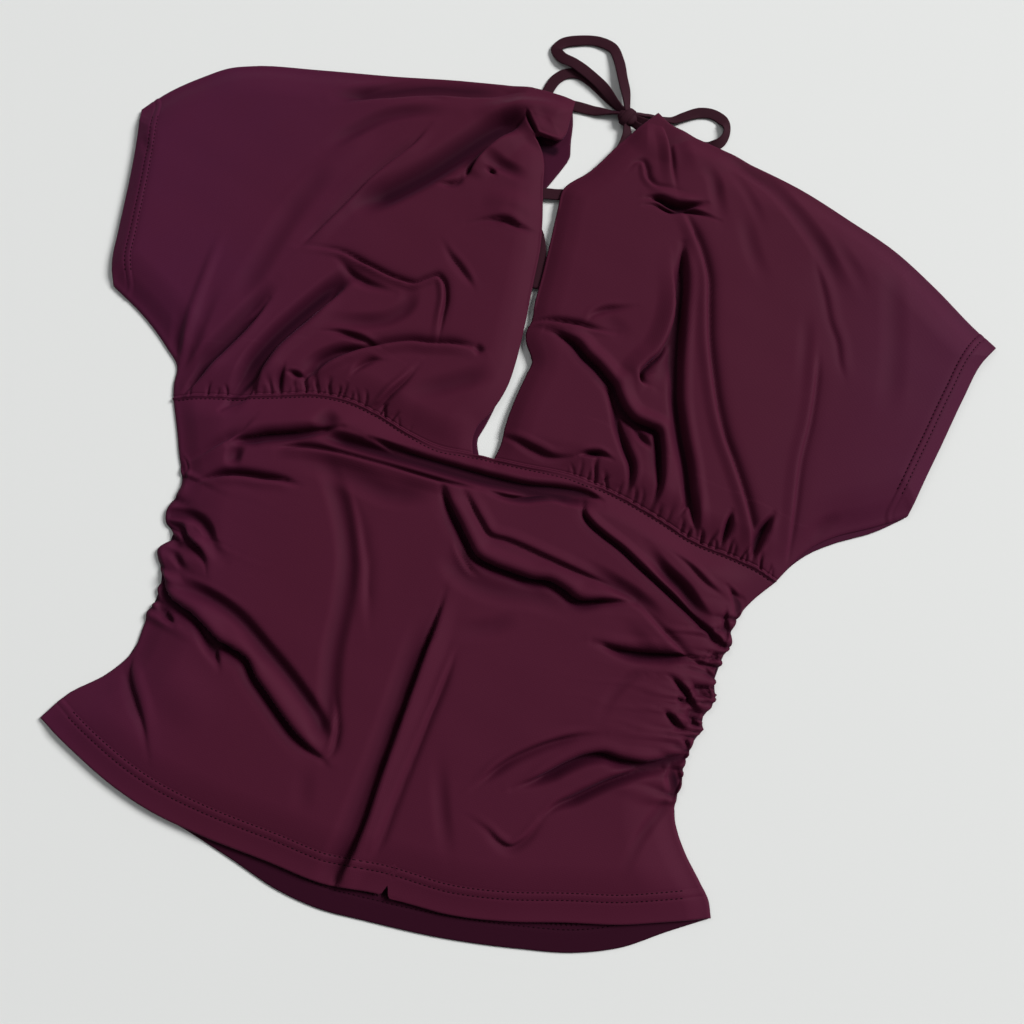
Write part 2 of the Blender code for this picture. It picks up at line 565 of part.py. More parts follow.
def make_top():
    """Every panel and tie of the top, each as its own object."""
    materials = {name: cloth_material(name) for name in COLOURS}
    bodice, back = materials["bodice"], materials["back"]
    half_gap = GAP / 2
    seam_right = seam_between(SLIT_RIGHT[0][0], WAIST_SEAM[0][0], half_gap)
    seam_left = seam_between(SLIT_LEFT[0][0], WAIST_SEAM[-1][0], half_gap)
    front_right = (seam_right, smooth_curve(SHOULDER_RIGHT), smooth_curve(SLIT_RIGHT), SLEEVE_RIGHT)
    front_left = (seam_left, smooth_curve(SHOULDER_LEFT), smooth_curve(SLIT_LEFT), SLEEVE_LEFT)
    bodice_half("front_bodice_right", BODICE_LINES, front_right, front_height, FRONT_REST, bodice)
    bodice_half("front_bodice_left", BODICE_LINES, front_left, front_height, FRONT_REST, bodice)
    lower_seam = seam_between(WAIST_SEAM[0][0], WAIST_SEAM[-1][0], -half_gap)
    front_edges = (lower_seam, smooth_curve(HEM_FRONT), LOWER_RIGHT, LOWER_LEFT)
    front_lines = lower_lines(LOWER_SIDE_LINES, LOWER_MIDDLE_LINES, LOWER_MIDDLE_POINTS)
    lower_panel("front_lower", front_lines, front_edges, front_height, FRONT_REST, materials["lower"])
    back_seam_right = seam_between(BACK_SLIT_RIGHT[0][0], WAIST_SEAM[0][0], half_gap)
    back_seam_left = seam_between(BACK_SLIT_LEFT[0][0], WAIST_SEAM[-1][0], half_gap)
    shoulder_left = smooth_curve(((54, 243),) + SHOULDER_LEFT[2:])
    shoulder_right = smooth_curve(((-13, 245),) + SHOULDER_RIGHT[1:])
    back_right = (back_seam_right, shoulder_right, smooth_curve(BACK_SLIT_RIGHT), SLEEVE_RIGHT)
    back_left = (back_seam_left, shoulder_left, smooth_curve(BACK_SLIT_LEFT), SLEEVE_LEFT)
    bodice_half("back_bodice_right", BACK_BODICE_LINES, back_right, back_height, 0, back)
    bodice_half("back_bodice_left", BACK_BODICE_LINES, back_left, back_height, 0, back)
    back_edges = (lower_seam, smooth_curve(HEM_BACK), LOWER_RIGHT, LOWER_LEFT)
    back_lines = lower_lines(BACK_LOWER_SIDE_LINES, BACK_LOWER_MIDDLE_LINES, BACK_LOWER_MIDDLE_POINTS)
    lower_panel("back_lower", back_lines, back_edges, back_height, 0, back)
    for name, route in TIE_ROUTES.items():
        tie(name, route, materials["tie"])
    knot("tie_knot", materials["tie"])


clear_scene()
make_top()
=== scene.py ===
"""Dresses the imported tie-neck top: cloth in its folds, ties, stitching, table, light and camera.

X runs from cuff to cuff, with the wearer's left at +X, Y from the hem to the neck, and Z up
from the table. Tables are in millimetres and the finished meshes in metres.
"""

from collections import namedtuple

import bpy
import numpy as np
from mathutils import Matrix, Vector


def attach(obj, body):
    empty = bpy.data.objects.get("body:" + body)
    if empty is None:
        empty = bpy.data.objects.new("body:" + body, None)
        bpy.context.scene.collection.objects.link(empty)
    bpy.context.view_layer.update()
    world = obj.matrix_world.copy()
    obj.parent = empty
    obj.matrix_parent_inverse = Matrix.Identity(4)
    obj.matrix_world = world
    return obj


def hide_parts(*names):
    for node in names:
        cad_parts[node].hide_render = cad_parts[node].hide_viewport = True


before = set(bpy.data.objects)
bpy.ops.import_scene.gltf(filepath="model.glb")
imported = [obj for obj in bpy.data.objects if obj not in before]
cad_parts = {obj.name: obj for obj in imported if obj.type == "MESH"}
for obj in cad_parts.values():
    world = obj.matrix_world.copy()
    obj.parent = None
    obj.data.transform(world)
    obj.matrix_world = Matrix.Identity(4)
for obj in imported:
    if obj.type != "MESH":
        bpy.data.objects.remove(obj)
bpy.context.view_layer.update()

bl_info = {
    "name": "Tie-neck batwing top",
    "version": (1, 0, 0),
    "blender": (4, 5, 0),
    "location": "3D View > Sidebar > Top",
    "description": "Makes a short jersey top laid flat, with its folds, ties and stitching",
    "category": "Object",
}

MM = 0.001

# Edge curves of the laid-out cloth: x and y of each point, in order along the edge
WAIST_SEAM = (
    (-186, -6), (-172, -1), (-150, 5), (-125, 13), (-105, 19), (-88, 20.5), (-68, 17.5), (-48, 11.5),
    (-28, 8), (-8, 9.5), (20, 10.7), (54, 12.7), (80, 8.7), (103, 2.5), (125, -4.5), (152, -8),
    (166, -10.5), (177, -14),
)
SHOULDER_RIGHT = (
    (-11, 246), (-36, 247), (-80, 241), (-126, 231.5), (-172, 223), (-212, 214.5), (-226, 209),
    (-240, 198.5), (-260, 179), (-269, 166),
)
CUFF_RIGHT = ((-269, 166), (-263.5, 144), (-259, 121), (-253, 84), (-249.5, 64), (-244, 50))
UNDERARM_RIGHT = ((-244, 50), (-220, 37), (-200, 22), (-190.5, 13), (-188.5, 2), (-186, -6))
SHOULDER_LEFT = (
    (41, 250), (50, 244.5), (64, 241.5), (100, 234.6), (140, 225), (170, 214), (200, 202), (230, 184),
    (255, 166.5), (270.5, 157),
)
CUFF_LEFT = ((270.5, 157), (263.5, 144.5), (257, 120), (250, 88), (245, 66), (240, 42))
UNDERARM_LEFT = ((240, 42), (223, 31), (201, 18), (190, 8), (182.5, -3), (177, -14))
BACK_UNDERARM_LEFT = ((240, 42), (224, 28.5), (203, 15.5), (191, 6), (183, -3.5), (177, -14))
SLIT_RIGHT = (
    (-8, 9.5), (-10.5, 18), (-10, 26), (-6, 34), (-2.5, 43), (0, 54), (0.6, 70), (-0.4, 90), (-3, 120),
    (-5.5, 146), (-8.7, 161), (-15, 185), (-18, 198), (-21.5, 205.5), (-25, 209.5), (-28, 212.6),
    (-22, 213.3), (-16, 213.8), (-12.6, 215), (-10.9, 219), (-10.6, 232), (-11, 246),
)
SLIT_LEFT = (
    (4.6, 10), (6, 20), (5.4, 30), (6.6, 50), (8.6, 64), (9.6, 73), (6.5, 78), (2.5, 84), (1.3, 90),
    (2.6, 97), (1.4, 106), (0.8, 125), (-0.6, 150), (-2, 172), (-2.4, 183), (10.8, 201), (24, 225),
    (41, 250),
)
SIDE_RIGHT = (
    (-186, -6), (-177, -24), (-170, -39), (-165, -48), (-162.4, -54), (-164.6, -65), (-165.2, -72),
    (-163, -78), (-158, -80.8), (-156, -84), (-159, -87.5), (-162.4, -92.5), (-160, -99), (-155, -106),
    (-153.8, -109), (-154.8, -113), (-153, -119.5), (-155.3, -124), (-156.3, -135), (-157, -150),
    (-165, -164), (-184, -183), (-193, -198),
)
SIDE_LEFT = (
    (177, -14), (165.5, -30), (160.7, -39.5), (158.6, -50), (160.2, -57), (156.6, -63), (157.2, -68.5),
    (154, -72), (156.6, -78), (155.6, -80.5), (158.8, -85.5), (158, -90), (153.8, -99.5), (155.8, -105),
    (152.8, -110), (151.8, -118), (150.6, -126), (151.6, -136), (150.8, -141), (153.5, -155),
    (161.5, -168), (174, -182), (180, -189), (183.5, -197.5),
)
HEM_FRONT = (
    (-193, -198), (-169, -209.5), (-141, -221), (-120, -227), (-90, -231.5), (-50, -234.5), (-15, -237),
    (10, -234), (50, -233.5), (80, -228.5), (110, -220.5), (140, -213), (160, -206), (183.5, -197.5),
)
# A small pleat in the hem lifts its edge here
HEM_PLEAT = ((13, -233.8), (15.5, -228.3), (18.5, -234.4), (22, -234.2))
HEM_BACK = (
    (-193, -198), (-169, -209.5), (-141, -221), (-120, -227), (-100, -231), (-69, -239), (-38, -247.5),
    (-16, -250), (8, -249), (50, -246), (90, -240), (120, -233.5), (142, -224.5), (163, -210.5),
    (183.5, -197.5),
)
BACK_SLIT_RIGHT = (
    (-4.5, 10), (-8, 19.5), (-6.2, 27), (-4.5, 36), (-2.8, 48), (-2, 62), (-2.4, 90), (-5, 120),
    (-7.5, 146), (-12, 165), (-15.5, 180), (-12, 186), (-7, 199), (-4.3, 208.5), (-6, 216), (-8.5, 231),
    (-13, 245),
)
BACK_SLIT_LEFT = (
    (6, 10), (7.5, 20), (7, 32), (8.2, 52), (11, 66), (11.5, 76), (5, 88), (4, 110), (2.5, 140), (1, 170),
    (0, 184), (14, 201), (31, 221), (45, 232), (54, 243),
)

# The y of each crease between the puckers of the ruched sides
PUCKERS_RIGHT = (-42, -50, -62, -78, -84, -100, -108, -119, -124, -136)
PUCKERS_LEFT = (
    -32, -41, -50, -56, -62, -65.5, -71, -75, -81, -83.5, -86.5, -91, -96, -98.5, -102, -107,
    -111, -117, -121, -129, -134, -141, -150,
)

# Creases of the front, each along its dark line with the cloth's roll on the left of the
# line's direction: the line, how deep the crease is, its width, how high the roll beside it
# is, how far that roll reaches, and how far it hangs over the crease
Crease = namedtuple("Crease", "line depth width roll reach over")
CREASES = tuple(Crease(*row) for row in (
    # The strip that rolls under the waist seam
    (((-68, 1), (-46, 0), (-30, -0.6), (-8, -0.6), (10, -0.4), (26, 0.4), (46, 4), (60, 5), (70, 3)),
     6.8, 2.1, 1.8, 9, 2.0),
    (((2, -9.5), (18, -10), (28, -7), (37, -3.5), (45, -2.3), (52, -5)), 5.0, 2.4, 1.3, 6, 1.2),
    (((4, -10), (-20, -11.5), (-60, -11), (-88, -12), (-104, -14.5), (-117, -19)), 1.9, 1.3, 1.2, 9, 0.9),
    # The right side of the lower panel
    (((-143, -25), (-137, -19), (-129, -14), (-115, -8.5), (-99, -2.5), (-84, 3)), 6.0, 3.0, 2.4, 11, 1.8),
    (((-134, -3), (-138, -12), (-144, -20), (-150, -26), (-158, -34), (-166, -40)), 1.0, 2.2, 0.8, 8, 0.4),
    (((-96, -36.5), (-105, -36), (-120, -38), (-131, -39.5), (-140, -42), (-148, -46), (-159, -53)),
     3.0, 1.7, 1.1, 8, 1.0),
    (((-172, -75), (-160, -77), (-153, -77.6), (-150, -81), (-143, -85), (-138, -88), (-134, -92),
     (-131, -97)), 3.0, 1.2, 1.3, 7, 1.2),
    (((-159, -85.5), (-154, -86.5), (-149, -88.5)), 1.6, 1.2, 0.6, 4, 0.4),
    (((-172, -37), (-166, -42), (-164, -47), (-163, -52)), 2.8, 1.6, 0.5, 5, 0.3),
    (((-154, -119), (-148, -123.5), (-143, -127), (-138, -130.5)), 3.6, 1.6, 1.3, 5, 1.0),
    (((-157.5, -150), (-155.5, -160), (-150, -168), (-144, -175), (-138, -183), (-127, -201)),
     1.8, 2.8, 1.0, 10, 0.5),
    # The long slanting fold below it, with its fork and its hooked end
    (((-164, -96), (-155, -107.5), (-150, -113), (-145, -117), (-138, -119.5), (-130, -122), (-122, -126),
     (-112, -131.5), (-102, -133.8), (-93, -137), (-85, -145), (-77, -151), (-65, -160), (-55, -167),
     (-45, -173), (-35, -177.5)), 5.2, 2.6, 3.0, 11, 2.7),
    (((-130, -124), (-120, -131), (-112, -138), (-106, -146)), 4.2, 2.2, 0.9, 6, 0.7),
    (((-37, -177), (-33.3, -172), (-33.5, -163), (-36, -153), (-42, -140)), 0.9, 1.5, 0.9, 5, 0.5),
    (((-33, -105), (-38, -92), (-42, -80), (-45, -70), (-50, -60), (-57, -46), (-67, -30)),
     0.4, 2.4, 0.5, 10, 0.1),
    # The middle fold that runs down to the hem
    (((0, -70), (0, -100), (-1, -120), (-2, -140), (-3, -160), (-4, -180), (-4.5, -200), (-6, -215),
     (-9, -229), (-12, -240)), 2.5, 1.5, 2.2, 11, 2.2),
    (((5, -217), (6, -205), (8, -180), (11, -150), (14, -122), (16, -100)), 0.7, 1.6, 0.6, 6, 0.3),
    # The left side of the lower panel, from the point of the big fold to the ruched side
    (((-20, -14), (-13, -22), (-4, -31), (5, -41), (11, -47), (20, -49.5), (32, -50.5), (44, -51),
     (54, -49.5), (64, -52), (71, -55), (85, -52.5), (103, -49)), 5.4, 2.6, 2.8, 11, 2.6),
    (((16, -58.5), (9, -55), (3, -49), (-3, -41)), 1.4, 1.5, 0.9, 5, 0.6),
    (((-9, -11), (0, -20), (8, -28), (15, -34), (26, -34.5), (50, -38), (66, -40.5), (80, -42.5),
     (104, -46)), 0.9, 1.3, 0.8, 8, 0.6),
    (((60, 2), (63, -8), (68, -12), (76, -16), (88, -21), (100, -27.5), (120, -38), (138, -48), (148, -53),
     (156, -58), (162, -64)), 3.2, 1.2, 1.2, 7, 1.2),
    (((114, -15), (128, -21), (140, -28), (151, -32)), 0.7, 1.4, 0.6, 6, 0.3),
    (((150, -25), (156, -29), (160, -33), (160, -40), (156.5, -48)), 3.4, 1.8, 0.7, 4, 0.5),
    (((152.5, -37), (154, -44), (156.5, -51), (156, -58)), 2.0, 1.3, 0.7, 4, 0.6),
    (((149, -69), (152, -65), (157, -62.5)), 2.2, 1.2, 0.7, 3.5, 0.5),
    (((150, -71), (154, -70.5), (158, -71)), 2.4, 1.2, 0.6, 3.5, 0.5),
    (((143, -85.5), (148, -84), (158, -82.4)), 2.2, 1.0, 0.6, 3, 0.4),
    (((145, -87.5), (151, -86.6), (159, -86.6)), 2.0, 1.0, 0.5, 3, 0.4),
    (((143, -98.5), (148, -97.2), (155, -97.5)), 2.2, 1.1, 0.6, 3, 0.4),
    (((143, -100.8), (147, -100.4), (151, -102.6), (156, -103)), 2.2, 1.1, 0.6, 3, 0.4),
    (((144, -112.5), (148.5, -113.5), (151, -117), (152.5, -121)), 2.0, 1.1, 0.5, 3, 0.4),
    (((158, -77), (147, -71), (135, -66), (120, -58), (104, -47)), 1.2, 1.4, 0.9, 7, 0.5),
    (((86, -76), (100, -76), (114, -74), (125, -71.5), (135, -70), (150, -74)), 5.2, 2.9, 1.8, 9, 1.5),
    (((130, -82.5), (138, -85), (143, -88), (147, -93), (152, -96.5)), 3.6, 1.3, 1.5, 6, 1.4),
    (((137, -91), (141, -93), (146, -94)), 1.8, 1.2, 0.6, 4, 0.5),
    (((131, -101), (138, -103), (143, -106.5), (149, -107.5)), 2.8, 1.2, 1.2, 6, 1.1),
    (((65, -163), (75, -156), (82, -149.5), (90, -142), (98, -136), (106, -132.5), (118, -132.5),
     (128, -131), (137, -127.5), (145, -123), (153, -119), (162, -114)), 4.2, 2.5, 1.6, 8, 1.3),
    (((45, -169), (50, -162), (54, -156), (60, -149), (68, -142), (76, -136), (84, -131), (92, -127),
     (106, -122)), 1.6, 1.9, 0.9, 7, 0.5),
    (((46, -183), (58, -187), (66, -191), (72, -192), (78, -187), (83, -178), (86, -170)),
     0.8, 2.0, 0.8, 6, 0.3),
    (((84, -173), (90, -165), (98, -158.5), (106, -151.5), (114, -145), (124, -138), (132, -133),
     (140, -131.5), (154, -135)), 3.4, 2.1, 0.7, 7, 0.5),
    (((143, -127), (148.2, -134.5), (149.6, -148)), 5.5, 3.0, 0.0, 5, 0),
    # The right bodice half, under the shoulder and down the sleeve
    (((-146, 206), (-128, 216.5), (-115, 223), (-105, 228), (-95, 231), (-85, 232), (-70, 235), (-44, 241)),
     3.2, 3.6, 1.0, 9, 0.8),
    (((-92, 202), (-99, 185), (-107, 173), (-115, 160), (-121, 148), (-131, 126), (-137, 114), (-144, 101)),
     0.7, 1.4, 1.3, 9, 0.9),
    (((-37, 224), (-43, 213), (-50, 201), (-56, 190.5), (-60, 179), (-61, 174)), 4.6, 1.2, 2.8, 14, 1.6),
    (((-78, 165.5), (-70, 166.5), (-64.5, 169.5), (-62, 175)), 1.5, 1.4, 0.5, 5, 0.3),
    (((-50.5, 181), (-47, 182.6), (-43.5, 180)), 2.2, 1.2, 0.6, 4, 0.4),
    (((-52, 144), (-38, 151), (-30, 153), (-20, 151), (-8, 150.5)), 1.3, 1.4, 0.9, 9, 0.6),
    (((-63, 130), (-55, 122), (-48, 117), (-40, 110), (-35, 105)), 1.1, 1.9, 0.5, 6, 0.2),
    (((-46, 66), (-48, 82), (-50.5, 98), (-54, 105), (-58, 107.5), (-64, 104), (-70, 99.5), (-80, 99.3),
     (-100, 103), (-120, 106.8), (-145, 103)), 1.2, 1.0, 1.2, 6, 0.8),
    (((-120, 102), (-108, 95.5), (-96, 92), (-80, 90)), 1.9, 2.9, 0.5, 6, 0.3),
    # The roll at the neck of the right half, over the dark pocket beneath it
    (((-37.5, 226), (-35.5, 223.6), (-32, 219.2), (-28.5, 215.2), (-26, 212.8)), 3.4, 0.7, 0.8, 2.8, 0.6),
    # The right bodice half, over the gathers
    (((-111, 84), (-119, 70), (-126, 58), (-132, 48), (-137, 38), (-140, 28), (-143, 18), (-146, 5)),
     5.8, 2.9, 2.3, 11, 1.9),
    (((-150, 66), (-155, 52), (-160, 41), (-166, 29), (-171, 19), (-176, 7), (-181, -4)),
     4.6, 2.2, 1.3, 9, 1.0),
    (((-114, 55), (-101, 58), (-90, 57.5), (-76, 54)), 1.8, 1.6, 0.7, 6, 0.5),
    (((-80, 57), (-91, 50), (-99, 44), (-107, 36.5), (-112, 30), (-116, 21)), 4.6, 2.3, 0.9, 8, 0.7),
    (((-19, 70), (-30, 70.5), (-40, 69), (-50, 66.5), (-62, 64.5), (-72, 60.5), (-82, 55), (-92, 49),
     (-100, 43), (-108, 33), (-111, 21)), 1.5, 1.8, 1.6, 9, 1.1),
    (((-89, 32), (-86, 40), (-80, 46), (-72, 48)), 1.3, 1.6, 0.5, 5, 0.2),
    (((-128, 30), (-127.5, 20), (-125, 11)), 2.4, 1.5, 0.6, 4, 0.3),
    (((-140, 32), (-143.5, 17), (-147, 9), (-155, -6)), 7.0, 2.8, 0.0, 5, 0),
    (((-125, 26), (-120, 26.5), (-114, 25)), 1.8, 1.3, 0.6, 4, 0.3),
    (((-73, 15), (-68, 22), (-63, 31), (-57, 41), (-52, 52)), 1.1, 1.4, 1.1, 6, 0.6),
    # The left bodice half, from the peak at the neck to the two pleats below it
    (((65, 200), (60, 211), (56, 222), (52, 232), (47, 242), (42.5, 250)), 1.1, 1.2, 1.4, 9, 1.0),
    (((70, 201), (60, 201), (50, 201), (46, 204), (43, 210), (40, 213.5), (36, 212), (33, 205)),
     0.9, 1.4, 0.8, 6, 0.5),
    (((48, 190.5), (56, 192.5), (66, 192), (74, 193.3), (84, 197)), 4.6, 2.0, 1.9, 7, 1.8),
    (((48, 185.5), (56, 187.5), (64, 187), (71, 189.5), (80, 189.5), (94, 188)), 3.0, 1.4, 1.0, 5, 1.1),
    # The left bodice half, the long folds down to the gathers
    (((160, -5), (157, 9), (152, 20), (146, 31), (138, 44), (129, 58), (121, 74), (113, 94), (106, 114),
     (101, 133), (96, 152), (89, 166), (80, 179), (70, 191)), 1.1, 1.8, 1.1, 9, 0.7),
    (((76, 168), (80, 155), (83.5, 142), (86, 126), (88, 112), (91, 98), (94, 85), (97, 73), (101, 62),
     (106, 50), (112, 37), (117, 24), (122, 12), (127, -2)), 6.4, 2.7, 1.7, 9, 1.4),
    (((79, 76), (74, 77.5), (71.5, 81.5), (74, 88), (79, 96), (82, 108), (82.5, 122), (80, 138), (74, 156)),
     2.2, 1.6, 2.4, 12, 2.8),
    (((54, 102), (40, 101), (30, 101), (20, 100), (10, 98.5), (0, 95)), 1.7, 1.3, 1.1, 5, 0.7),
    (((34, 103), (37, 110), (42, 114), (50, 117), (60, 121)), 1.2, 1.7, 0.4, 6, 0.2),
    (((12, 92.5), (24, 91.5), (32, 89.5), (40, 84), (48, 79.5), (55, 74.5), (60, 70.5), (64, 65), (70, 58),
     (76, 54), (84, 52.5), (91, 51), (94.5, 44), (98, 32), (100, 20), (98, 5)), 5.0, 2.3, 2.8, 10, 2.3),
    (((73, 56), (81, 46.5), (92, 38)), 2.4, 1.7, 0.3, 5, 0.2),
    (((50, 70), (58, 66), (64, 58), (69, 47), (76, 36), (82, 27), (83.5, 18), (82, 8)),
     3.4, 2.0, 0.9, 6, 0.8),
    (((3, 24.5), (15, 23), (26, 21), (36, 19.5), (50, 23)), 1.6, 2.2, 0.8, 7, 0.4),
    (((50, 24), (56, 27.5), (62, 28.8), (70, 27)), 2.8, 1.5, 0.7, 5, 0.7),
    (((165, 22), (162, 8), (160, -8)), 4.6, 2.2, 0.8, 6, 0.6),
    (((142, 17), (143, 7), (141, -6)), 3.2, 1.6, 0.6, 4, 0.5),
    (((114, 30), (118, 18), (114, 4)), 1.8, 1.5, 0.7, 5, 0.4),
    (((181, -6), (178.5, 15), (176, 35), (174, 55), (174, 80), (172, 105), (169, 125)),
     0.5, 1.2, 0.6, 9, 0.4),
    # The left sleeve
    (((151, 184), (158, 172), (165, 158), (172, 142), (178, 132), (183, 118), (188, 108)),
     0.3, 1.8, 0.35, 9, 0.1),
))

# Soft swells, and hollows where the height is below 0: the middle line, height and half width
Swell = namedtuple("Swell", "line height half_width")
SWELLS = tuple(Swell(*row) for row in (
    # The lower panel
    (((-100, -1), (-94, 4), (-89, 11)), -2.2, 8),
    (((-137, -21), (-138, -30), (-137, -37)), -2.2, 6),
    (((-100, -4), (-70, -4.5), (-30, -4.5), (0, -4.5), (40, -1), (70, -1)), -4.0, 6),
    (((-110, -20), (-70, -23), (-46, -27), (-22, -20)), -1.5, 10),
    (((-180, -80), (-168, -74), (-158, -70.5), (-150, -69.5), (-143, -71.5), (-138, -75), (-134, -80),
     (-122, -90)), -3.0, 4.5),
    (((-162, -93), (-154, -93), (-150, -95), (-146, -98), (-140, -100)), -1.8, 3.5),
    (((-150, -78), (-142, -81), (-134, -87), (-128, -95)), 1.0, 5),
    (((-152, -108), (-126, -110), (-105, -117), (-85, -129), (-62, -144), (-44, -159), (-38, -168)),
     -3.0, 6),
    (((-90, -16), (-70, -42), (-58, -66), (-52, -92), (-49, -120), (-43, -145), (-38, -162)), -1.7, 8),
    (((-7, -85), (-8, -130), (-9, -160), (-11, -190), (-13, -215), (-18, -240)), -1.6, 8),
    (((22, -155), (29, -175), (35, -190), (44, -208)), -0.8, 6),
    (((-45, -180), (-38, -208)), -0.4, 8),
    (((-6, -48), (4, -58), (22, -63), (50, -60), (80, -62)), -1.5, 10),
    (((8, -92), (30, -84), (44, -74)), -0.8, 8),
    (((100, -16), (113, -26), (127, -34), (138, -43), (150, -52)), -3.4, 5.5),
    (((66, -36), (88, -41), (104, -46), (122, -55)), -2.2, 6),
    (((100, -55), (120, -66), (142, -79)), 1.4, 9),
    (((100, -118), (104, -100), (112, -88), (122, -81)), -0.6, 5),
    (((149, -138), (145, -150), (137, -168), (132, -190)), -0.9, 5),
    (((-140, -150), (-120, -165), (-96, -172)), 0.7, 18),
    # The right bodice half
    (((-160, 200), (-120, 221), (-90, 231), (-50, 239)), -3.0, 8),
    (((-109, 217), (-98, 221), (-86, 222)), -0.5, 4),
    (((-150, 167), (-136, 184), (-122, 198), (-108, 206), (-82, 213)), -1.5, 7),
    (((-30, 226), (-52, 210), (-67, 192), (-82, 173), (-100, 154), (-122, 133)), -4.4, 12),
    (((-56, 190), (-42, 187.5), (-24, 183)), -2.0, 6),
    (((-70, 214), (-50, 225.5), (-32, 232), (-8, 236.5)), 1.9, 9),
    (((-44, 234), (-34, 222), (-27, 215), (-18, 212.5), (-8, 214), (2, 222)), 1.9, 10),
    (((-38, 226), (-31, 219), (-27, 214.8), (-22, 214.4), (-16, 214.9), (-13.4, 216.2), (-12, 222)),
     0.6, 1.5),
    (((-48, 160), (-30, 164), (-10, 162)), 1.2, 12),
    (((-72, 97), (-70, 85), (-78, 74), (-97, 66), (-116, 62)), -1.6, 7),
    (((-106, 100), (-120, 78), (-131, 60), (-140, 43), (-146, 28), (-150, -4)), -5.0, 8),
    (((-118, 27), (-110, 38), (-100, 46), (-86, 52)), -3.0, 6.5),
    (((-150, 78), (-160, 54), (-172, 28), (-183, 2)), -2.2, 7),
    (((-190, 100), (-190.5, 40), (-189, 8)), 0.8, 5),
    (((-198, 50), (-195, 28), (-192, 14)), -0.8, 6),
    (((-182, 70), (-184, 30), (-185, 5)), -0.7, 6),
    (((-58, 30), (-40, 40), (-22, 51), (-8, 60)), -1.3, 9),
    (((-26, 71), (-22, 69.5), (-19, 67)), -1.4, 4),
    (((-140, 160), (-153, 128), (-162, 88), (-168, 56)), -1.0, 10),
    (((-120, 190), (-140, 160), (-160, 120)), 0.7, 12),
    (((-260, 148), (-250, 133)), -0.5, 5),
    # The left bodice half
    (((50, 244), (60, 228), (69, 211)), -0.8, 8),
    (((76, 222), (84, 214), (89, 203), (97, 186)), -1.1, 6),
    (((85, 76), (88, 92), (87, 112), (85, 130)), -3.0, 8),
    (((66, 62), (72, 50), (79, 36)), -1.6, 6),
    (((88, 228), (108, 208), (122, 188)), -0.4, 5),
    (((105, 201), (116, 177), (131, 154)), -0.6, 7),
    (((40, 110), (62, 100)), -0.5, 8),
    # The left sleeve
    (((84, 234), (105, 227), (122, 219), (135, 208), (145, 199), (155, 189), (164, 177), (178, 158)),
     -1.2, 8),
    (((158, 200), (174, 184), (191, 162)), -0.4, 6),
    (((157, 147), (161, 124), (164, 98)), -0.5, 6),
    (((199, 190), (206, 160), (212, 130), (215, 90)), -0.5, 10),
    (((190, 13), (195, 24), (204, 33)), -0.6, 6),
))

# Gathers: where each short crease meets the waist seam, how high it runs, how it leans
# sideways for each millimetre up, and how deep it is
Gather = namedtuple("Gather", "x height lean depth")
GATHERS = tuple(Gather(*row) for row in (
    (-176, 7, -0.3, 1.2), (-166, 6, -0.1, 1.8), (-161.5, 3.5, 0.2, 1.4), (-156, 5, -0.2, 1.9),
    (-152, 4, 0.5, 1.6), (-139, 6, -0.4, 1.6), (-135.5, 4, 0.1, 1.3), (-131, 9, -0.3, 1.8),
    (-121.5, 5, 0.2, 1.4), (-118, 8, -0.2, 1.5), (-112, 10, -0.2, 2.4), (-108.5, 4, 0.2, 1.3),
    (-105, 8, -0.25, 2.2), (-101.5, 5, 0.1, 1.6), (-97.5, 8, -0.3, 2.2), (-93.5, 5, 0.1, 2.4),
    (-89.5, 7, -0.1, 2.0), (-86, 4.5, 0.3, 1.8), (-81, 6, -0.3, 1.5), (-76, 7, -0.2, 1.9),
    (-71, 5, 0.4, 1.8), (-67, 6, 0.5, 2.4), (-63, 5, -0.4, 2.2), (-58.5, 6, 0.3, 1.8), (-53, 4, -0.3, 1.2),
    (-47, 4, 0.3, 0.8),
    (46, 4, 0.3, 0.8), (51, 5, -0.5, 1.3), (55, 8, -0.2, 1.5), (59.5, 6, 0.1, 1.8), (63.5, 12, -0.15, 2.4),
    (67.5, 6, 0.3, 1.8), (71, 7, -0.3, 1.9), (75, 4, 0.3, 1.4), (78.5, 6, 0.1, 1.7), (88, 7, -0.1, 1.9),
    (93, 8, -0.2, 1.6), (103, 6, 0.2, 1.8), (108, 9, 0.25, 1.5), (118.5, 6, -0.2, 2.0),
    (122.5, 5, 0.2, 2.6), (131, 6, -0.3, 2.4), (135, 8, 0.2, 2.2), (139, 4, -0.2, 2.0), (146, 7, 0.15, 2.0),
    (150, 6, -0.2, 1.6), (154, 8, 0.3, 2.0), (157, 4, -0.2, 1.6), (166, 7, -0.1, 1.9), (170, 5, 0.2, 1.4),
    (174, 4, -0.2, 1.2),
))

# Painted shade on the back in the pocket under the neck's flap: its middle line, and how far the painted
# shade reaches
NECK_POCKET = ((-28, 212.5), (-21, 209.5), (-15.5, 209.5))
POCKET_REACH = 5.0

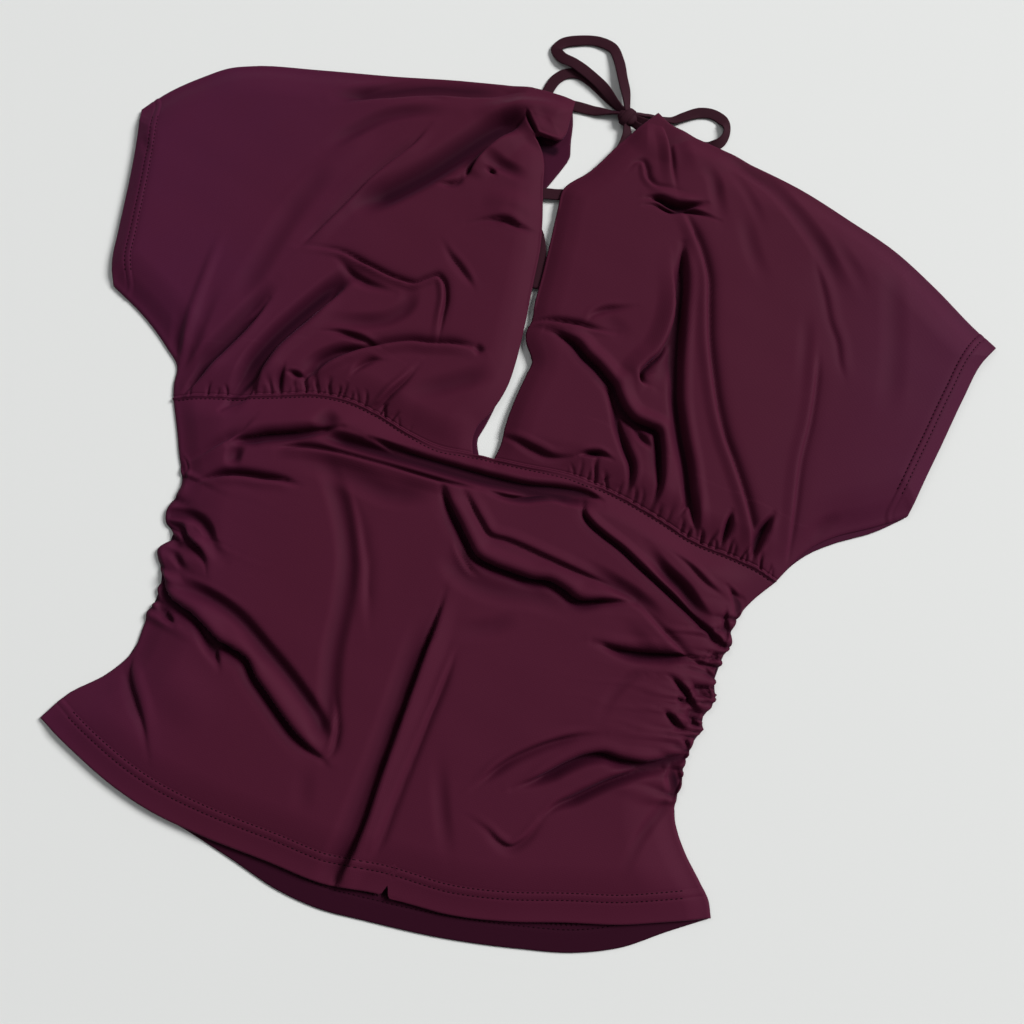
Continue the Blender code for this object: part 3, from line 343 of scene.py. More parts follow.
# Routes of the two ties: x, y and z of the line's middle, then the share of the full width
TIE_RIGHT = (
    # from the right corner of the neck into the knot
    (-13.5, 242.6, 1.3, 1), (-10.5, 242.8, 1.2, 1), (-6, 242.9, 1.1, 1), (-1, 242.9, 1.0, 1),
    (6, 243.4, 1.2, 0.91), (11, 244.0, 2.0, 0.66), (14.6, 244.2, 3.0, 0.54), (22, 245.6, 3.4, 0.42),
    # the loop over the left shoulder
    (30.2, 247.2, 3.0, 0.51), (36, 248.4, 1.6, 0.51), (43, 248.6, 1.0, 0.54), (50, 249.4, 1.0, 0.8),
    (57, 254.5, 1.0, 0.94), (65, 259.6, 1.0, 1), (73.5, 261, 1.0, 1), (81, 258, 1.0, 1),
    (84.6, 251, 1.0, 0.62), (83, 243.5, 1.0, 0.8), (77, 238.6, 1.0, 1), (66, 237.6, 1.0, 1),
    (54, 238.2, 1.0, 1), (44, 238.6, 1.0, 0.9), (36, 238.8, 1.8, 0.6), (30.4, 239.0, 3.0, 0.51),
    (24, 242.2, 2.8, 0.42),
    # the free end that goes round behind the right shoulder
    (16.6, 248.4, 1.9, 0.51), (11.5, 251.4, 1.1, 0.69), (4, 257, 1.0, 0.94), (-5, 262.4, 1.0, 1),
    (-13.5, 265.5, 1.0, 1), (-21.5, 263.6, 1.0, 1), (-27, 257.5, 1.0, 1), (-29.3, 250, 1.0, 1),
    (-30.2, 240, 1.0, 1), (-31, 230, 1.0, 1),
)
TIE_LEFT = (
    # from the left corner of the neck into the knot
    (44.4, 243.2, 1.0, 0.54), (40, 243.4, 1.2, 0.54), (35, 243.4, 2.2, 0.51), (31.4, 243.2, 3.0, 0.51),
    (22, 244.6, 4.2, 0.42),
    # the loop above the neck
    (14.9, 248.6, 4.2, 0.6), (10.5, 252.6, 3.8, 0.74), (3, 259, 3.6, 0.94), (-7, 265, 3.6, 1),
    (-18, 270, 3.6, 1), (-28, 273, 3.0, 0.97), (-32.5, 278, 2.0, 0.94), (-30, 283, 1.4, 1),
    (-20, 288.5, 1.1, 1), (-8, 291, 1.2, 1), (2, 288.5, 1.6, 1), (7.5, 281, 2.4, 0.97),
    (13, 269, 3.6, 0.94), (17.5, 259, 4.6, 0.86), (20.6, 250.4, 4.8, 0.6), (23, 243, 3.8, 0.45),
    # the free end under the left half that crosses the slit twice
    (24.6, 236.2, 2.7, 0.66), (26, 231.5, 2.6, 0.91), (25.5, 222, 2.8, 1), (21, 207, 2.6, 1),
    (12, 193, 2.5, 1), (4, 184, 2.5, 1), (-5, 180.8, 2.5, 1), (-14, 178.5, 2.5, 1),
    (-19, 171, 2.5, 1), (-16, 161, 2.5, 1), (-9, 152, 2.5, 1), (-4.5, 142, 2.5, 1),
    (-2, 130, 2.5, 1), (-0.6, 118, 2.5, 1),
)
# Stretches where a tie lies under the back, or between back and front: x and y
UNDER_BACK = (
    ((86, 246), (77, 238.6), (66, 237.6), (54, 238.2), (46, 238.6)),
    ((-29.4, 250), (-30.2, 240), (-31, 229)),
)
UNDER_FRONT = (
    (
        (26, 230), (26, 222), (21, 207), (12, 193), (4, 184), (-14, 178.5), (-18, 170), (-9, 152), (-2, 130),
        (-0.6, 117),
    ),
    ((34, 244), (46, 243.5)),
)
KNOT_CENTRE = (23.0, 243.0, 3.5)
KNOT_HALF_SIZE = (7.0, 6.2, 3.3)

# Hems: the free edge, how deep the cloth is turned in, and where its two rows of stitches are
Hem = namedtuple("Hem", "edge depth rows")
FRONT_HEM = Hem(HEM_FRONT, 15.0, (15.0, 11.3))
CUFF_HEM_RIGHT = Hem(CUFF_RIGHT, 12.5, (12.5, 9.0))
CUFF_HEM_LEFT = Hem(CUFF_LEFT, 12.5, (12.5, 9.0))
BACK_HEM = Hem(HEM_BACK, 15.0, (15.0, 11.3))


def length_setting(name, description, default, low, high):
    """A length in metres that a user may change."""
    return bpy.props.FloatProperty(
        name=name, description=description, default=default, min=low, max=high, unit="LENGTH"
    )


def share_setting(name, description, default, low, high):
    """A share or factor that a user may change."""
    return bpy.props.FloatProperty(name=name, description=description, default=default, min=low, max=high)


def colour_setting(name, description, default):
    """A colour that a user may change."""
    return bpy.props.FloatVectorProperty(
        name=name, description=description, default=default, min=0, max=1, size=3, subtype="COLOR"
    )


class TopSizes(bpy.types.PropertyGroup):
    """Sizes of the cloth, its folds, its ties and its stitches."""

    cloth: length_setting("Cloth", "Thickness of the jersey", 0.0006, 0.0002, 0.002)
    back_top: length_setting("Back's upper face", "Height of the back's face", 0.0009, 0.0005, 0.003)
    front_top: length_setting(
        "Front's upper face", "Height of the front's face where it rests on the back", 0.0023, 0.001, 0.005
    )
    loft: length_setting("Loft", "How far the front stands off the back inside its edges", 0.0065, 0.0, 0.01)
    swell_share: share_setting("Swells", "Share of each swell's listed height", 1.7, 0.0, 3.0)
    crease_share: share_setting("Creases", "Share of each crease's listed depth", 1.9, 0.0, 5.0)
    crease_width: share_setting("Crease width", "Share of each crease's listed width", 1.2, 0.5, 1.5)
    roll_share: share_setting("Rolls", "Share of each roll's listed height", 1.6, 0.0, 3.0)
    overhang_share: share_setting("Overhang", "Share of each roll's listed overhang", 1.0, 0.0, 2.0)
    gather_height: length_setting("Gather height", "Height of the waist seam's gathers", 0.0030, 0.0, 0.008)
    ruche_height: length_setting("Ruche height", "Height of the ruched sides' puckers", 0.0046, 0.0, 0.008)
    tie_width: length_setting("Tie width", "Width of the flat neck ties", 0.007, 0.003, 0.02)
    tie_thickness: length_setting("Tie thickness", "Thickness of the flat neck ties", 0.0011, 0.0008, 0.004)
    stitch: length_setting("Stitch", "Length of one stitch", 0.0014, 0.0005, 0.005)
    stitch_pitch: length_setting("Stitch pitch", "From one stitch to the next", 0.0026, 0.0015, 0.008)
    thread: length_setting("Thread", "Thickness of the sewing thread", 0.0006, 0.0001, 0.001)


class TopColours(bpy.types.PropertyGroup):
    """Colours of the cloth, the thread and the table."""

    jersey: colour_setting("Jersey", "Colour of the cloth in plain light", (0.0615, 0.0082, 0.0228))
    # Painted light: the cooler plum look that the light gives the sleeves, blended into the cloth's colour
    # there
    plum_light_tint: colour_setting("Plum tone", "Cooler tone of the cloth's sleeves", (0.0650, 0.0098, 0.0365))
    inside: colour_setting("Inside", "Colour of the cloth's inner face on the back", (0.046, 0.0055, 0.0200))
    tie: colour_setting("Ties", "Colour of the cloth of the ties", (0.030, 0.0080, 0.0140))
    sheen: colour_setting("Sheen", "Tint of the soft sheen", (0.60, 0.29, 0.58))
    # Painted shade: real stitches coloured far darker than the cloth, standing for the shade in the needle
    # holes around them
    thread: colour_setting("Thread", "Colour of the sewing thread", (0.010, 0.0015, 0.0045))
    table: colour_setting("Table", "Colour of the table top", (0.80, 0.82, 0.81))


class Wire:
    """A node's output or a number that takes part in arithmetic by adding Math nodes."""

    def __init__(self, finish, socket):
        self.finish = finish
        self.socket = socket

    def maths(self, operation, first, second):
        return self.finish.node("ShaderNodeMath", {"operation": operation}, {0: first, 1: second})

    def __add__(self, other):
        return self.maths("ADD", self, other)

    def __sub__(self, other):
        return self.maths("SUBTRACT", self, other)

    def __rsub__(self, other):
        return self.maths("SUBTRACT", other, self)

    def __mul__(self, other):
        return self.maths("MULTIPLY", self, other)

    __radd__ = __add__
    __rmul__ = __mul__


class Finish:
    """One material and the nodes that make it."""

    def __init__(self, name):
        self.material = bpy.data.materials.new(name)
        self.material.use_nodes = True
        self.tree = self.material.node_tree
        self.shader = self.tree.nodes["Principled BSDF"]

    def node(self, kind, settings=None, sockets=None, output=0):
        """A node of that type with its settings, then its sockets set or linked, as a wire."""
        made = self.tree.nodes.new(kind)
        for name, value in (settings or {}).items():
            setattr(made, name, value)
        self.feed(made, sockets or {})
        return Wire(self, made.outputs[output])

    def feed(self, made, sockets):
        """Sets or links the sockets of a node by name or number."""
        for key, value in sockets.items():
            if isinstance(value, Wire):
                self.tree.links.new(value.socket, made.inputs[key])
            else:
                made.inputs[key].default_value = value

    def mix(self, factor, first, second):
        """Blends two colours by the factor."""
        return self.node("ShaderNodeMix", {"data_type": "RGBA"}, {0: factor, 6: first, 7: second}, 2)

    def noise(self, place, scale, detail=2.0, roughness=0.5):
        """Soft noise from 0 to 1 at places in metres."""
        sockets = {"Vector": place, "Scale": scale, "Detail": detail, "Roughness": roughness}
        return self.node("ShaderNodeTexNoise", {}, sockets)

    def waves(self, place, direction, scale, distortion=0.0):
        """Fine parallel lines from 0 to 1, at so many a metre."""
        settings = {"wave_type": "BANDS", "bands_direction": direction, "wave_profile": "SIN"}
        sockets = {"Vector": place, "Scale": scale, "Distortion": distortion}
        return self.node("ShaderNodeTexWave", settings, sockets)

    def place(self):
        """The place on the object, in metres."""
        return self.node("ShaderNodeTexCoord", {}, {}, 3)

    def bump(self, strength, distance, height):
        """A fine relief for the shader's normal, its distance in metres."""
        return self.node("ShaderNodeBump", {}, {"Strength": strength, "Distance": distance, "Height": height})


def toned(colour, share=1.0):
    """The colour with its channels times a share, or times one share each, up to 1, with full alpha."""
    return (*np.minimum(np.multiply(tuple(colour), share), 1).tolist(), 1)


# Painted shade: the share of its red, green and blue that the cloth's colour keeps where the folds are
# painted darkest
PAINTED_FOLD_SHADE_TONE = (0.28, 0.16, 0.34)

# Painted light: the plum tint that the light gives the sleeves, by x: the x it is measured from, and how far
# from there it starts and is full
PLUM_MIDDLE, PLUM_START, PLUM_FULL = 0.03, 0.10, 0.26

# Painted shade: the share of the inner face's colour that the back's lower panel keeps, for the front's shade
# over it
HEM_PAINTED_SHADE = 0.57


def jersey(name, colour, plum, plum_light_share=1.0):
    """Smooth stretch jersey: fine knit ribs and rows, soft sheen, slightly uneven in colour, with painted
    shade in its folds and a painted plum light tint toward the sleeves.
    """
    known = bpy.data.materials.get(name)
    if known:
        return known
    finish = Finish(name)
    cloth, place = finish.node("ShaderNodeUVMap", {"uv_map": "Cloth"}), finish.place()
    spread = finish.node("ShaderNodeSeparateXYZ", {}, {0: place})
    outward = finish.node("ShaderNodeMath", {"operation": "ABSOLUTE"}, {0: spread - PLUM_MIDDLE})
    # Painted light: how much of the plum light tint is blended in, growing from the middle toward the sleeves
    sleeve = finish.node(
        "ShaderNodeMapRange", {"interpolation_type": "SMOOTHSTEP"},
        {"Value": outward, "From Min": PLUM_START, "From Max": PLUM_FULL, "To Min": 0, "To Max": plum_light_share},
    )
    tone = finish.noise(place, scale=14.0, detail=5.0, roughness=0.62)
    fleck = finish.noise(cloth, scale=2600.0, detail=1.0)
    # Painted shade: the Fold shade attribute darkens the cloth's colour in its folds, in the gaps between
    # puckers and in the neck pocket
    painted_fold_shade = finish.node("ShaderNodeAttribute", {"attribute_name": "Fold shade"}, {}, 2)
    # Painted light: the plum tint toward the sleeves
    colour_here = finish.mix(sleeve, toned(colour), toned(plum))
    colour_here = finish.mix(tone * 0.75, colour_here, toned(colour, 1.16))
    colour_here = finish.mix((fleck - 0.5) * 0.5, colour_here, toned(colour, 0.82))
    colour_here = finish.mix(painted_fold_shade, colour_here, toned(colour, PAINTED_FOLD_SHADE_TONE))
    ribs = finish.waves(cloth, "X", scale=420.0, distortion=0.6)
    rows = finish.waves(cloth, "Y", scale=300.0, distortion=0.8)
    fuzz = finish.noise(cloth, scale=1500.0, detail=3.0)
    finish.feed(finish.shader, {
        "Base Color": colour_here,
        "Roughness": finish.noise(place, scale=30.0) * 0.12 + 0.60,
        "Normal": finish.bump(0.22, 0.0002, ribs * 0.5 + rows * 0.3 + fuzz * 0.4),
        "Specular IOR Level": 0.05,
        "Sheen Weight": 0.06,
        "Sheen Roughness": 0.35,
        "Sheen Tint": toned(bpy.context.scene.top_colours.sheen),
    })
    return finish.material


def thread():
    """Twisted sewing thread, a little shinier than the cloth, coloured far darker than it as painted shade
    for the needle holes around the stitches.
    """
    known = bpy.data.materials.get("sewing thread")
    if known:
        return known
    colour = bpy.context.scene.top_colours.thread
    finish = Finish("sewing thread")
    ply = finish.waves(finish.place(), "DIAGONAL", scale=900.0, distortion=1.0)
    finish.feed(finish.shader, {
        "Base Color": finish.mix(ply, toned(colour), toned(colour, 1.7)),
        "Roughness": ply * 0.1 + 0.7,
        "Normal": finish.bump(0.4, 0.0001, ply),
        "Specular IOR Level": 0.05,
    })
    return finish.material


def table_top():
    """A pale smooth table with a barely uneven tone."""
    colour = bpy.context.scene.top_colours.table
    finish = Finish("table top")
    place = finish.place()
    cloud = finish.noise(place, scale=1.4, detail=3.0)
    grain = finish.noise(place, scale=700.0)
    finish.feed(finish.shader, {
        "Base Color": finish.mix(cloud, toned(colour), toned(colour, 0.965)),
        "Roughness": cloud * 0.08 + 0.7,
        "Normal": finish.bump(0.05, 0.0002, grain),
        "Specular IOR Level": 0.02,
    })
    return finish.material


def smooth_curve(points, per_step=14):
    """Dense points on a cubic through the points given, in any number of columns.

    Each stretch is the Hermite blend of its two ends and of the slopes there, and a slope
    is the mean of its two neighbours weighted by how near they are.
    """
    points = np.array(points, float)
    rises = np.diff(points, axis=0)
    steps = np.linalg.norm(rises[:, :2], axis=1)[:, None]
    slopes = rises / steps
    inner = (slopes[:-1] * steps[1:] + slopes[1:] * steps[:-1]) / (steps[:-1] + steps[1:])
    tangents = np.vstack([slopes[:1], inner, slopes[-1:]])
    t = np.linspace(0, 1, per_step, endpoint=False)[None, :, None]
    first, last = points[:-1, None], points[1:, None]
    leave, arrive = (tangents[:-1] * steps)[:, None], (tangents[1:] * steps)[:, None]
    blend = (
        (2 * t**3 - 3 * t**2 + 1) * first + (t**3 - 2 * t**2 + t) * leave
        + (3 * t**2 - 2 * t**3) * last + (t**3 - t**2) * arrive
    )
    return np.vstack([blend.reshape(-1, points.shape[1]), points[-1:]])


def run_of(curve, columns=2):
    """The length along a curve at each of its points."""
    steps = np.linalg.norm(np.diff(curve[:, :columns], axis=0), axis=1)
    return np.concatenate([[0], np.cumsum(steps)])


def along(curve, share):
    """Points of a dense curve at the given shares of its length."""
    run = run_of(curve)
    wanted = np.asarray(share) * run[-1]
    return np.stack([np.interp(wanted, run, column) for column in curve.T], -1)


def joined(*curves):
    """Curves that follow on from one another as one, with each shared point once."""
    return np.vstack([curves[0]] + [curve[1:] for curve in curves[1:]])


def smoothstep(value):
    """Eases from 0 to 1 as the value does: 3v squared less 2v cubed."""
    value = np.clip(value, 0, 1)
    return value * value * (3 - 2 * value)


def bell(value, centre, width):
    """1 at the centre, falling off on both sides: e to the minus square of the steps away."""
    return np.exp(-(((value - centre) / width) ** 2))


def rounded(distance, reach, drop):
    """How far a rounded edge drops: a quarter ellipse, from the drop at distance 0 to 0 at the reach."""
    return drop * (1 - np.sqrt(1 - np.clip(1 - distance / reach, 0, 1) ** 2))


# How far from its crease a roll is highest, at most and as a share of its reach
CREST, CREST_SHARE = 2.6, 0.4

# How deep the hollow beyond the crease is for the roll's height
HOLLOW_SHARE = 0.55

# How deep a crease or hollow is that gets the fullest painted shade
FULL_SHADE_DEPTH = 4.6

# A crease's painted shade: how wide it is without a roll, how much of the roll's reach it takes in
# besides, and the power of its falloff
SHADE_WIDTH, SHADE_SPREAD, SHADE_POWER = 1.0, 0.85, 0.85

# How a fold's ends taper off
END_LENGTH = 24.0
END_SHARE = 0.46
END_DEPTH = 0.06

# The share of a crease's width that is left at its very ends
END_WIDTH = 0.35

# How blunt the bottom of a crease is
BLUNT = 0.7

Near = namedtuple("Near", "distance side run right")


def nearest_on(curve, x, y):
    """The nearest place on a curve for each point.

    The distance is to the nearest stretch. The side is the sine of the angle from the
    stretch to the point, above 0 on the left. The run is the share of stretches passed,
    and right is the unit vector to the curve's right.
    """
    start, step = curve[:-1, :2], np.diff(curve[:, :2], axis=0)
    squares = (step**2).sum(-1)
    lengths = np.sqrt(squares)
    right = np.stack([step[:, 1], -step[:, 0]], -1) / lengths[:, None]
    pieces = max(1, len(x) * len(step) // 3_000_000)
    found = []
    for part in np.array_split(np.arange(len(x)), pieces):
        off_x = x[part, None] - start[:, 0]
        off_y = y[part, None] - start[:, 1]
        share = np.clip((off_x * step[:, 0] + off_y * step[:, 1]) / squares, 0, 1)
        off_x -= share * step[:, 0]
        off_y -= share * step[:, 1]
        square = off_x**2 + off_y**2
        best = square.argmin(axis=1)
        rows = np.arange(len(part))
        distance = np.sqrt(square[rows, best])
        cross = step[best, 0] * off_y[rows, best] - step[best, 1] * off_x[rows, best]
        side = cross / (lengths[best] * np.maximum(distance, 1e-9))
        run = (best + share[rows, best]) / len(step)
        found.append((distance, side, run, right[best]))
    return Near(*(np.concatenate(column) for column in zip(*found)))


def nearest_of(curves, x, y):
    """The distance to the nearest of several curves."""
    return np.minimum.reduce([nearest_on(curve, x, y).distance for curve in curves])


def box_of(curve, margin, x, y):
    """The numbers of the points that lie in the curve's box widened by the margin."""
    low, high = curve.min(axis=0) - margin, curve.max(axis=0) + margin
    return np.flatnonzero((x > low[0]) & (x < high[0]) & (y > low[1]) & (y < high[1]))


def tapered(curve, run):
    """How much of a fold is there at each share of its line: eased down to little at both ends."""
    length = run_of(curve)[-1]
    ease = min(END_LENGTH, END_SHARE * length)
    return END_DEPTH + (1 - END_DEPTH) * smoothstep(np.minimum(run, 1 - run) * length / ease)


def darken(shade, inside, depth, share):
    """Brings the painted shade inside to at least that of a fold so deep, by the share of the fold there."""
    shade[inside] = np.maximum(shade[inside], min(depth / FULL_SHADE_DEPTH, 1) * share)


def add_crease(crease, x, y, lift, slip, shade):
    """Adds one crease and the roll beside it to the lift, slip and painted shade of the points.

    The crease is a valley, the square of what is left of twice its width, with a blunt
    bottom, and it narrows to its ends. The roll, on the line's left, eases up to its crest
    near the crease and down to nothing at the end of its reach, and it slips over the
    crease by its overhang. Beyond the crease a wide hollow falls towards it, by the square
    of what is left of the reach, and shade is painted on the cloth there in the same way.
    """
    sizes = bpy.context.scene.top_sizes
    curve = smooth_curve(crease.line, 8)
    inside = box_of(curve, max(crease.reach, 3 * crease.width), x, y)
    if len(inside) == 0:
        return
    near = nearest_on(curve, x[inside], y[inside])
    away = np.hypot(near.distance, BLUNT) - BLUNT
    there = tapered(curve, near.run)
    narrowing = END_WIDTH + (1 - END_WIDTH) * there
    valley = np.clip(1 - away / (2 * sizes.crease_width * crease.width * narrowing), 0, 1) ** 2
    crest = min(CREST, CREST_SHARE * crease.reach)
    beyond = (near.distance - crest) / (crease.reach - crest)
    roll = smoothstep(near.distance / crest) * (1 - smoothstep(beyond)) * (smoothstep(near.side * 2) * there)
    spread = crest + (crease.reach - crest) * smoothstep(0.5 - near.side)
    hollow = np.clip(1 - away / spread, 0, 1) ** 2 * there
    lift[inside] += sizes.roll_share * crease.roll * (roll - HOLLOW_SHARE * hollow)
    lift[inside] -= sizes.crease_share * crease.depth * valley * there
    slip[inside] += (sizes.overhang_share * crease.over * roll)[:, None] * near.right
    # Painted shade beside the crease, reaching furthest on the side beyond it
    shade_width = narrowing * (SHADE_WIDTH + SHADE_SPREAD * (spread - crest))
    darken(shade, inside, crease.depth, np.clip(1 - away / shade_width, 0, 1) ** SHADE_POWER * there)


def add_swell(swell, x, y, lift, shade):
    """Adds one soft swell or hollow: half a cosine across its line, tapered to both ends, with shade painted
    into a hollow.
    """
    curve = smooth_curve(swell.line, 8)
    inside = box_of(curve, swell.half_width, x, y)
    if len(inside) == 0:
        return
    near = nearest_on(curve, x[inside], y[inside])
    share = 0.5 + 0.5 * np.cos(np.pi * np.clip(near.distance / swell.half_width, 0, 1))
    share *= tapered(curve, near.run)
    lift[inside] += bpy.context.scene.top_sizes.swell_share * swell.height * share
    darken(shade, inside, -swell.height, share)


def seam_height_at(x):
    """The y of the waist seam at each x."""
    return np.interp(x, SEAM_CURVE[:, 0], SEAM_CURVE[:, 1])


# The puffed cloth above the waist seam: how far up it goes, how fast it rises and how it fades
PUFF_TOP, PUFF_RISE, PUFF_FADE = 34, 9.0, 16.0

# The x of the slit's middle, and how far from the middle the gathers start and end, with the
# distance over which they set in there
SLIT_MIDDLE = -2
GATHERS_AT_SLIT, SLIT_EASE = 44, 14
GATHERS_AT_SLEEVE, SLEEVE_EASE = 190, 10


def gathers(x, y):
    """The puffed cloth above the waist seam and the short creases of its gathers.

    The puff rises fast from the seam and fades upward. Each crease is a bell across a
    slanting line from its foot, deepest at the seam, and fades over its height.
    """
    off_seam = y - seam_height_at(x)
    near_seam = np.flatnonzero((off_seam > -0.5) & (off_seam < PUFF_TOP))
    up, across = np.maximum(off_seam[near_seam], 0), x[near_seam]
    present = smoothstep((np.abs(across - SLIT_MIDDLE) - GATHERS_AT_SLIT) / SLIT_EASE)
    present *= smoothstep((GATHERS_AT_SLEEVE - np.abs(across)) / SLEEVE_EASE)
    uneven = 0.75 + 0.25 * np.sin(across / 7.7 + 0.6)
    puffed = 0.5 * present * uneven * smoothstep((up + 3.0) / PUFF_RISE) * np.exp(-up / PUFF_FADE)
    for gather in GATHERS:
        foot = gather.x + gather.lean * up + 0.5 * np.sin(up / 2.5 + gather.x)
        fade = smoothstep((1.5 * gather.height - up) / gather.height)
        puffed -= 0.15 * gather.depth**2 * fade * bell(across, foot, 0.7 + 0.05 * up)
    rise = np.zeros_like(x)
    rise[near_seam] = puffed
    return rise


# How far a pucker's bulge and the painted shade of a gap between puckers reach in from the side, and
# how high the right side's puckers are for the left's
BULGE_REACH, GAP_REACH = 4.0, 7.0
RIGHT_PUCKERS = 0.7


def ruche_side(x, y, side_curve, puckers, outward):
    """Puckers that run in from one ruched side: their rise, their bulge and the shade painted in the gaps
    between them.

    Along the side they are a row of rounded crests with a sharp crease at each place given,
    a power of the sine, wavering a little further in. Each of the three fades inwards by a
    power of e, the rise over a reach that differs from pucker to pucker.
    """
    order = np.argsort(side_curve[:, 1])
    side_x = np.interp(y, side_curve[order, 1], side_curve[order, 0])
    inward = np.maximum(outward * (side_x - x), 0)
    level = y + 0.10 * inward + 1.2 * np.sin(inward / 6.0 + 0.3 * y)
    creases = np.array(puckers[::-1], float)
    phase = np.interp(level, creases, np.arange(len(creases)))
    present = smoothstep((level - creases[0]) / 8) * smoothstep((creases[-1] - level) / 8)
    reach = 9.0 + 8.0 * (0.5 + 0.5 * np.sin(phase * 2.3 + 0.5)) ** 2
    crests = np.abs(np.sin(np.pi * phase)) ** 0.75
    rise, bulge = present * crests * np.exp(-inward / reach), present * crests * np.exp(-inward / BULGE_REACH)
    return rise, bulge, present * (1 - crests) * np.exp(-inward / GAP_REACH)


def ruching(x, y):
    """The rise of the puckers at both sides, how far they bulge sideways, and how much shade is painted in
    their gaps.
    """
    below = smoothstep((seam_height_at(x) - 6 - y) / 12)
    right, right_bulge, right_gap = ruche_side(x, y, LOWER_RIGHT, PUCKERS_RIGHT, -1)
    left, left_bulge, left_gap = ruche_side(x, y, LOWER_LEFT, PUCKERS_LEFT, 1)
    rise, bulge, gaps = RIGHT_PUCKERS * right + left, left_bulge - right_bulge, right_gap + left_gap
    return below * rise, below * bulge, below * gaps


# How much cloth rises over a tie under the back and under the front, and how far from the
# tie's middle that ends and over what distance it falls
OVER_TIE_BACK, OVER_TIE_FRONT = 2.0, 2.3
OVER_TIE_REACH, OVER_TIE_FALL = 24, 14


def tucks(lines, lift, x, y):
    """A low flat-topped rise over the ties that lie underneath."""
    height = np.zeros_like(x)
    for line in lines:
        distance = nearest_on(smooth_curve(line, 6), x, y).distance
        height = np.maximum(height, lift * smoothstep((OVER_TIE_REACH - distance) / OVER_TIE_FALL))
    return height


# The step up of a turned-in hem, how far past its depth it starts and over what distance it
# rises, and the depth and width of the grooves of its stitches
HEM_STEP, HEM_STEP_START, HEM_STEP_WIDTH = 0.55, 0.8, 1.4
ROW_GROOVE, ROW_GROOVE_WIDTH = 0.30, 0.7


def hem_relief(hem, x, y):
    """The step up of the turned-in cloth, with a groove along each row of stitches."""
    distance = nearest_on(smooth_curve(hem.edge, 5), x, y).distance
    height = HEM_STEP * smoothstep((hem.depth + HEM_STEP_START - distance) / HEM_STEP_WIDTH)
    for row in hem.rows:
        height -= ROW_GROOVE * bell(distance, row, ROW_GROOVE_WIDTH)
    return height


def unevenness(x, y):
    """Slow small waves, so that no stretch of cloth is perfectly smooth: crossed sines."""
    broad = np.sin(x / 19 + 1.4 * np.sin(y / 37)) * np.sin(y / 24 + 0.9 * np.sin(x / 31))
    fine = np.sin((x + 0.6 * y) / 9.5 + 1.7 * np.sin(y / 21)) * np.sin((y - 0.4 * x) / 11.5)
    return 0.32 * broad + 0.12 * fine


# How far below the waist seam its row of stitches runs
TOPSTITCH_BELOW = 2.4

# The waist seam's ridge, the groove beside it and that of its stitches: the height of each, how
# far above the seam it lies and its width
SEAM_RELIEF = ((1.2, -0.7, 0.9), (-0.3, 0.8, 0.6), (-0.12, -TOPSTITCH_BELOW, 0.7))


def seam_relief(above):
    """The ridge and the grooves of the waist seam, each a bell across it."""
    return sum(height * bell(above, place, width) for height, place, width in SEAM_RELIEF)


# Over what distance the loft grows in from the edges above and below the waist seam, up and
# down from the seam, and in from the rim, and the rim's share of it
LOFT_IN_ABOVE, LOFT_IN_BELOW, LOFT_UP, LOFT_DOWN = 26.0, 30.0, 22.0, 16.0
LOFT_RIM, RIM_SHARE = 14.0, 0.3


def loft_share(above, closed, sides, openings, hem_edge):
    """The share of the full loft: a part grows at the rim, the rest further in and off the seam.

    Each part is a product of eased distances, and the slit and the cuffs count as further off.
    """
    over_seam = smoothstep(np.minimum(closed, openings + 9) / LOFT_IN_ABOVE)
    over_seam *= smoothstep((above + 3.0) / LOFT_UP)
    under_seam = smoothstep(sides / LOFT_IN_BELOW) * smoothstep(hem_edge / LOFT_IN_BELOW)
    under_seam *= smoothstep(-above / LOFT_DOWN)
    rim = smoothstep(np.minimum(closed, openings + 5) / LOFT_RIM)
    return RIM_SHARE * rim + (1 - RIM_SHARE) * np.where(above > 0, over_seam, under_seam)


# How far in from a closed edge the folds are full, with the share of the gathers and puckers
# that is there at the edge itself, and how far in from any edge the small waves are full
FOLDS_FULL, GATHERED_AT_EDGE, WAVES_FULL = 3.5, 0.6, 12

# How soft the smooth maximum is that keeps the front above the back
SOFTNESS = 0.5

# The curl of a closed edge and the turn of a free one: how far in each reaches and its drop
CURL_REACH, CURL_DROP = 2.6, 1.5
TURN_REACH, TURN_DROP, BACK_TURN_DROP = 0.9, 0.6, 0.3

# How much shade is painted in the gaps between the puckers, and how far the puckers bulge
GAP_SHADE, BULGE = 1.2, 0.8


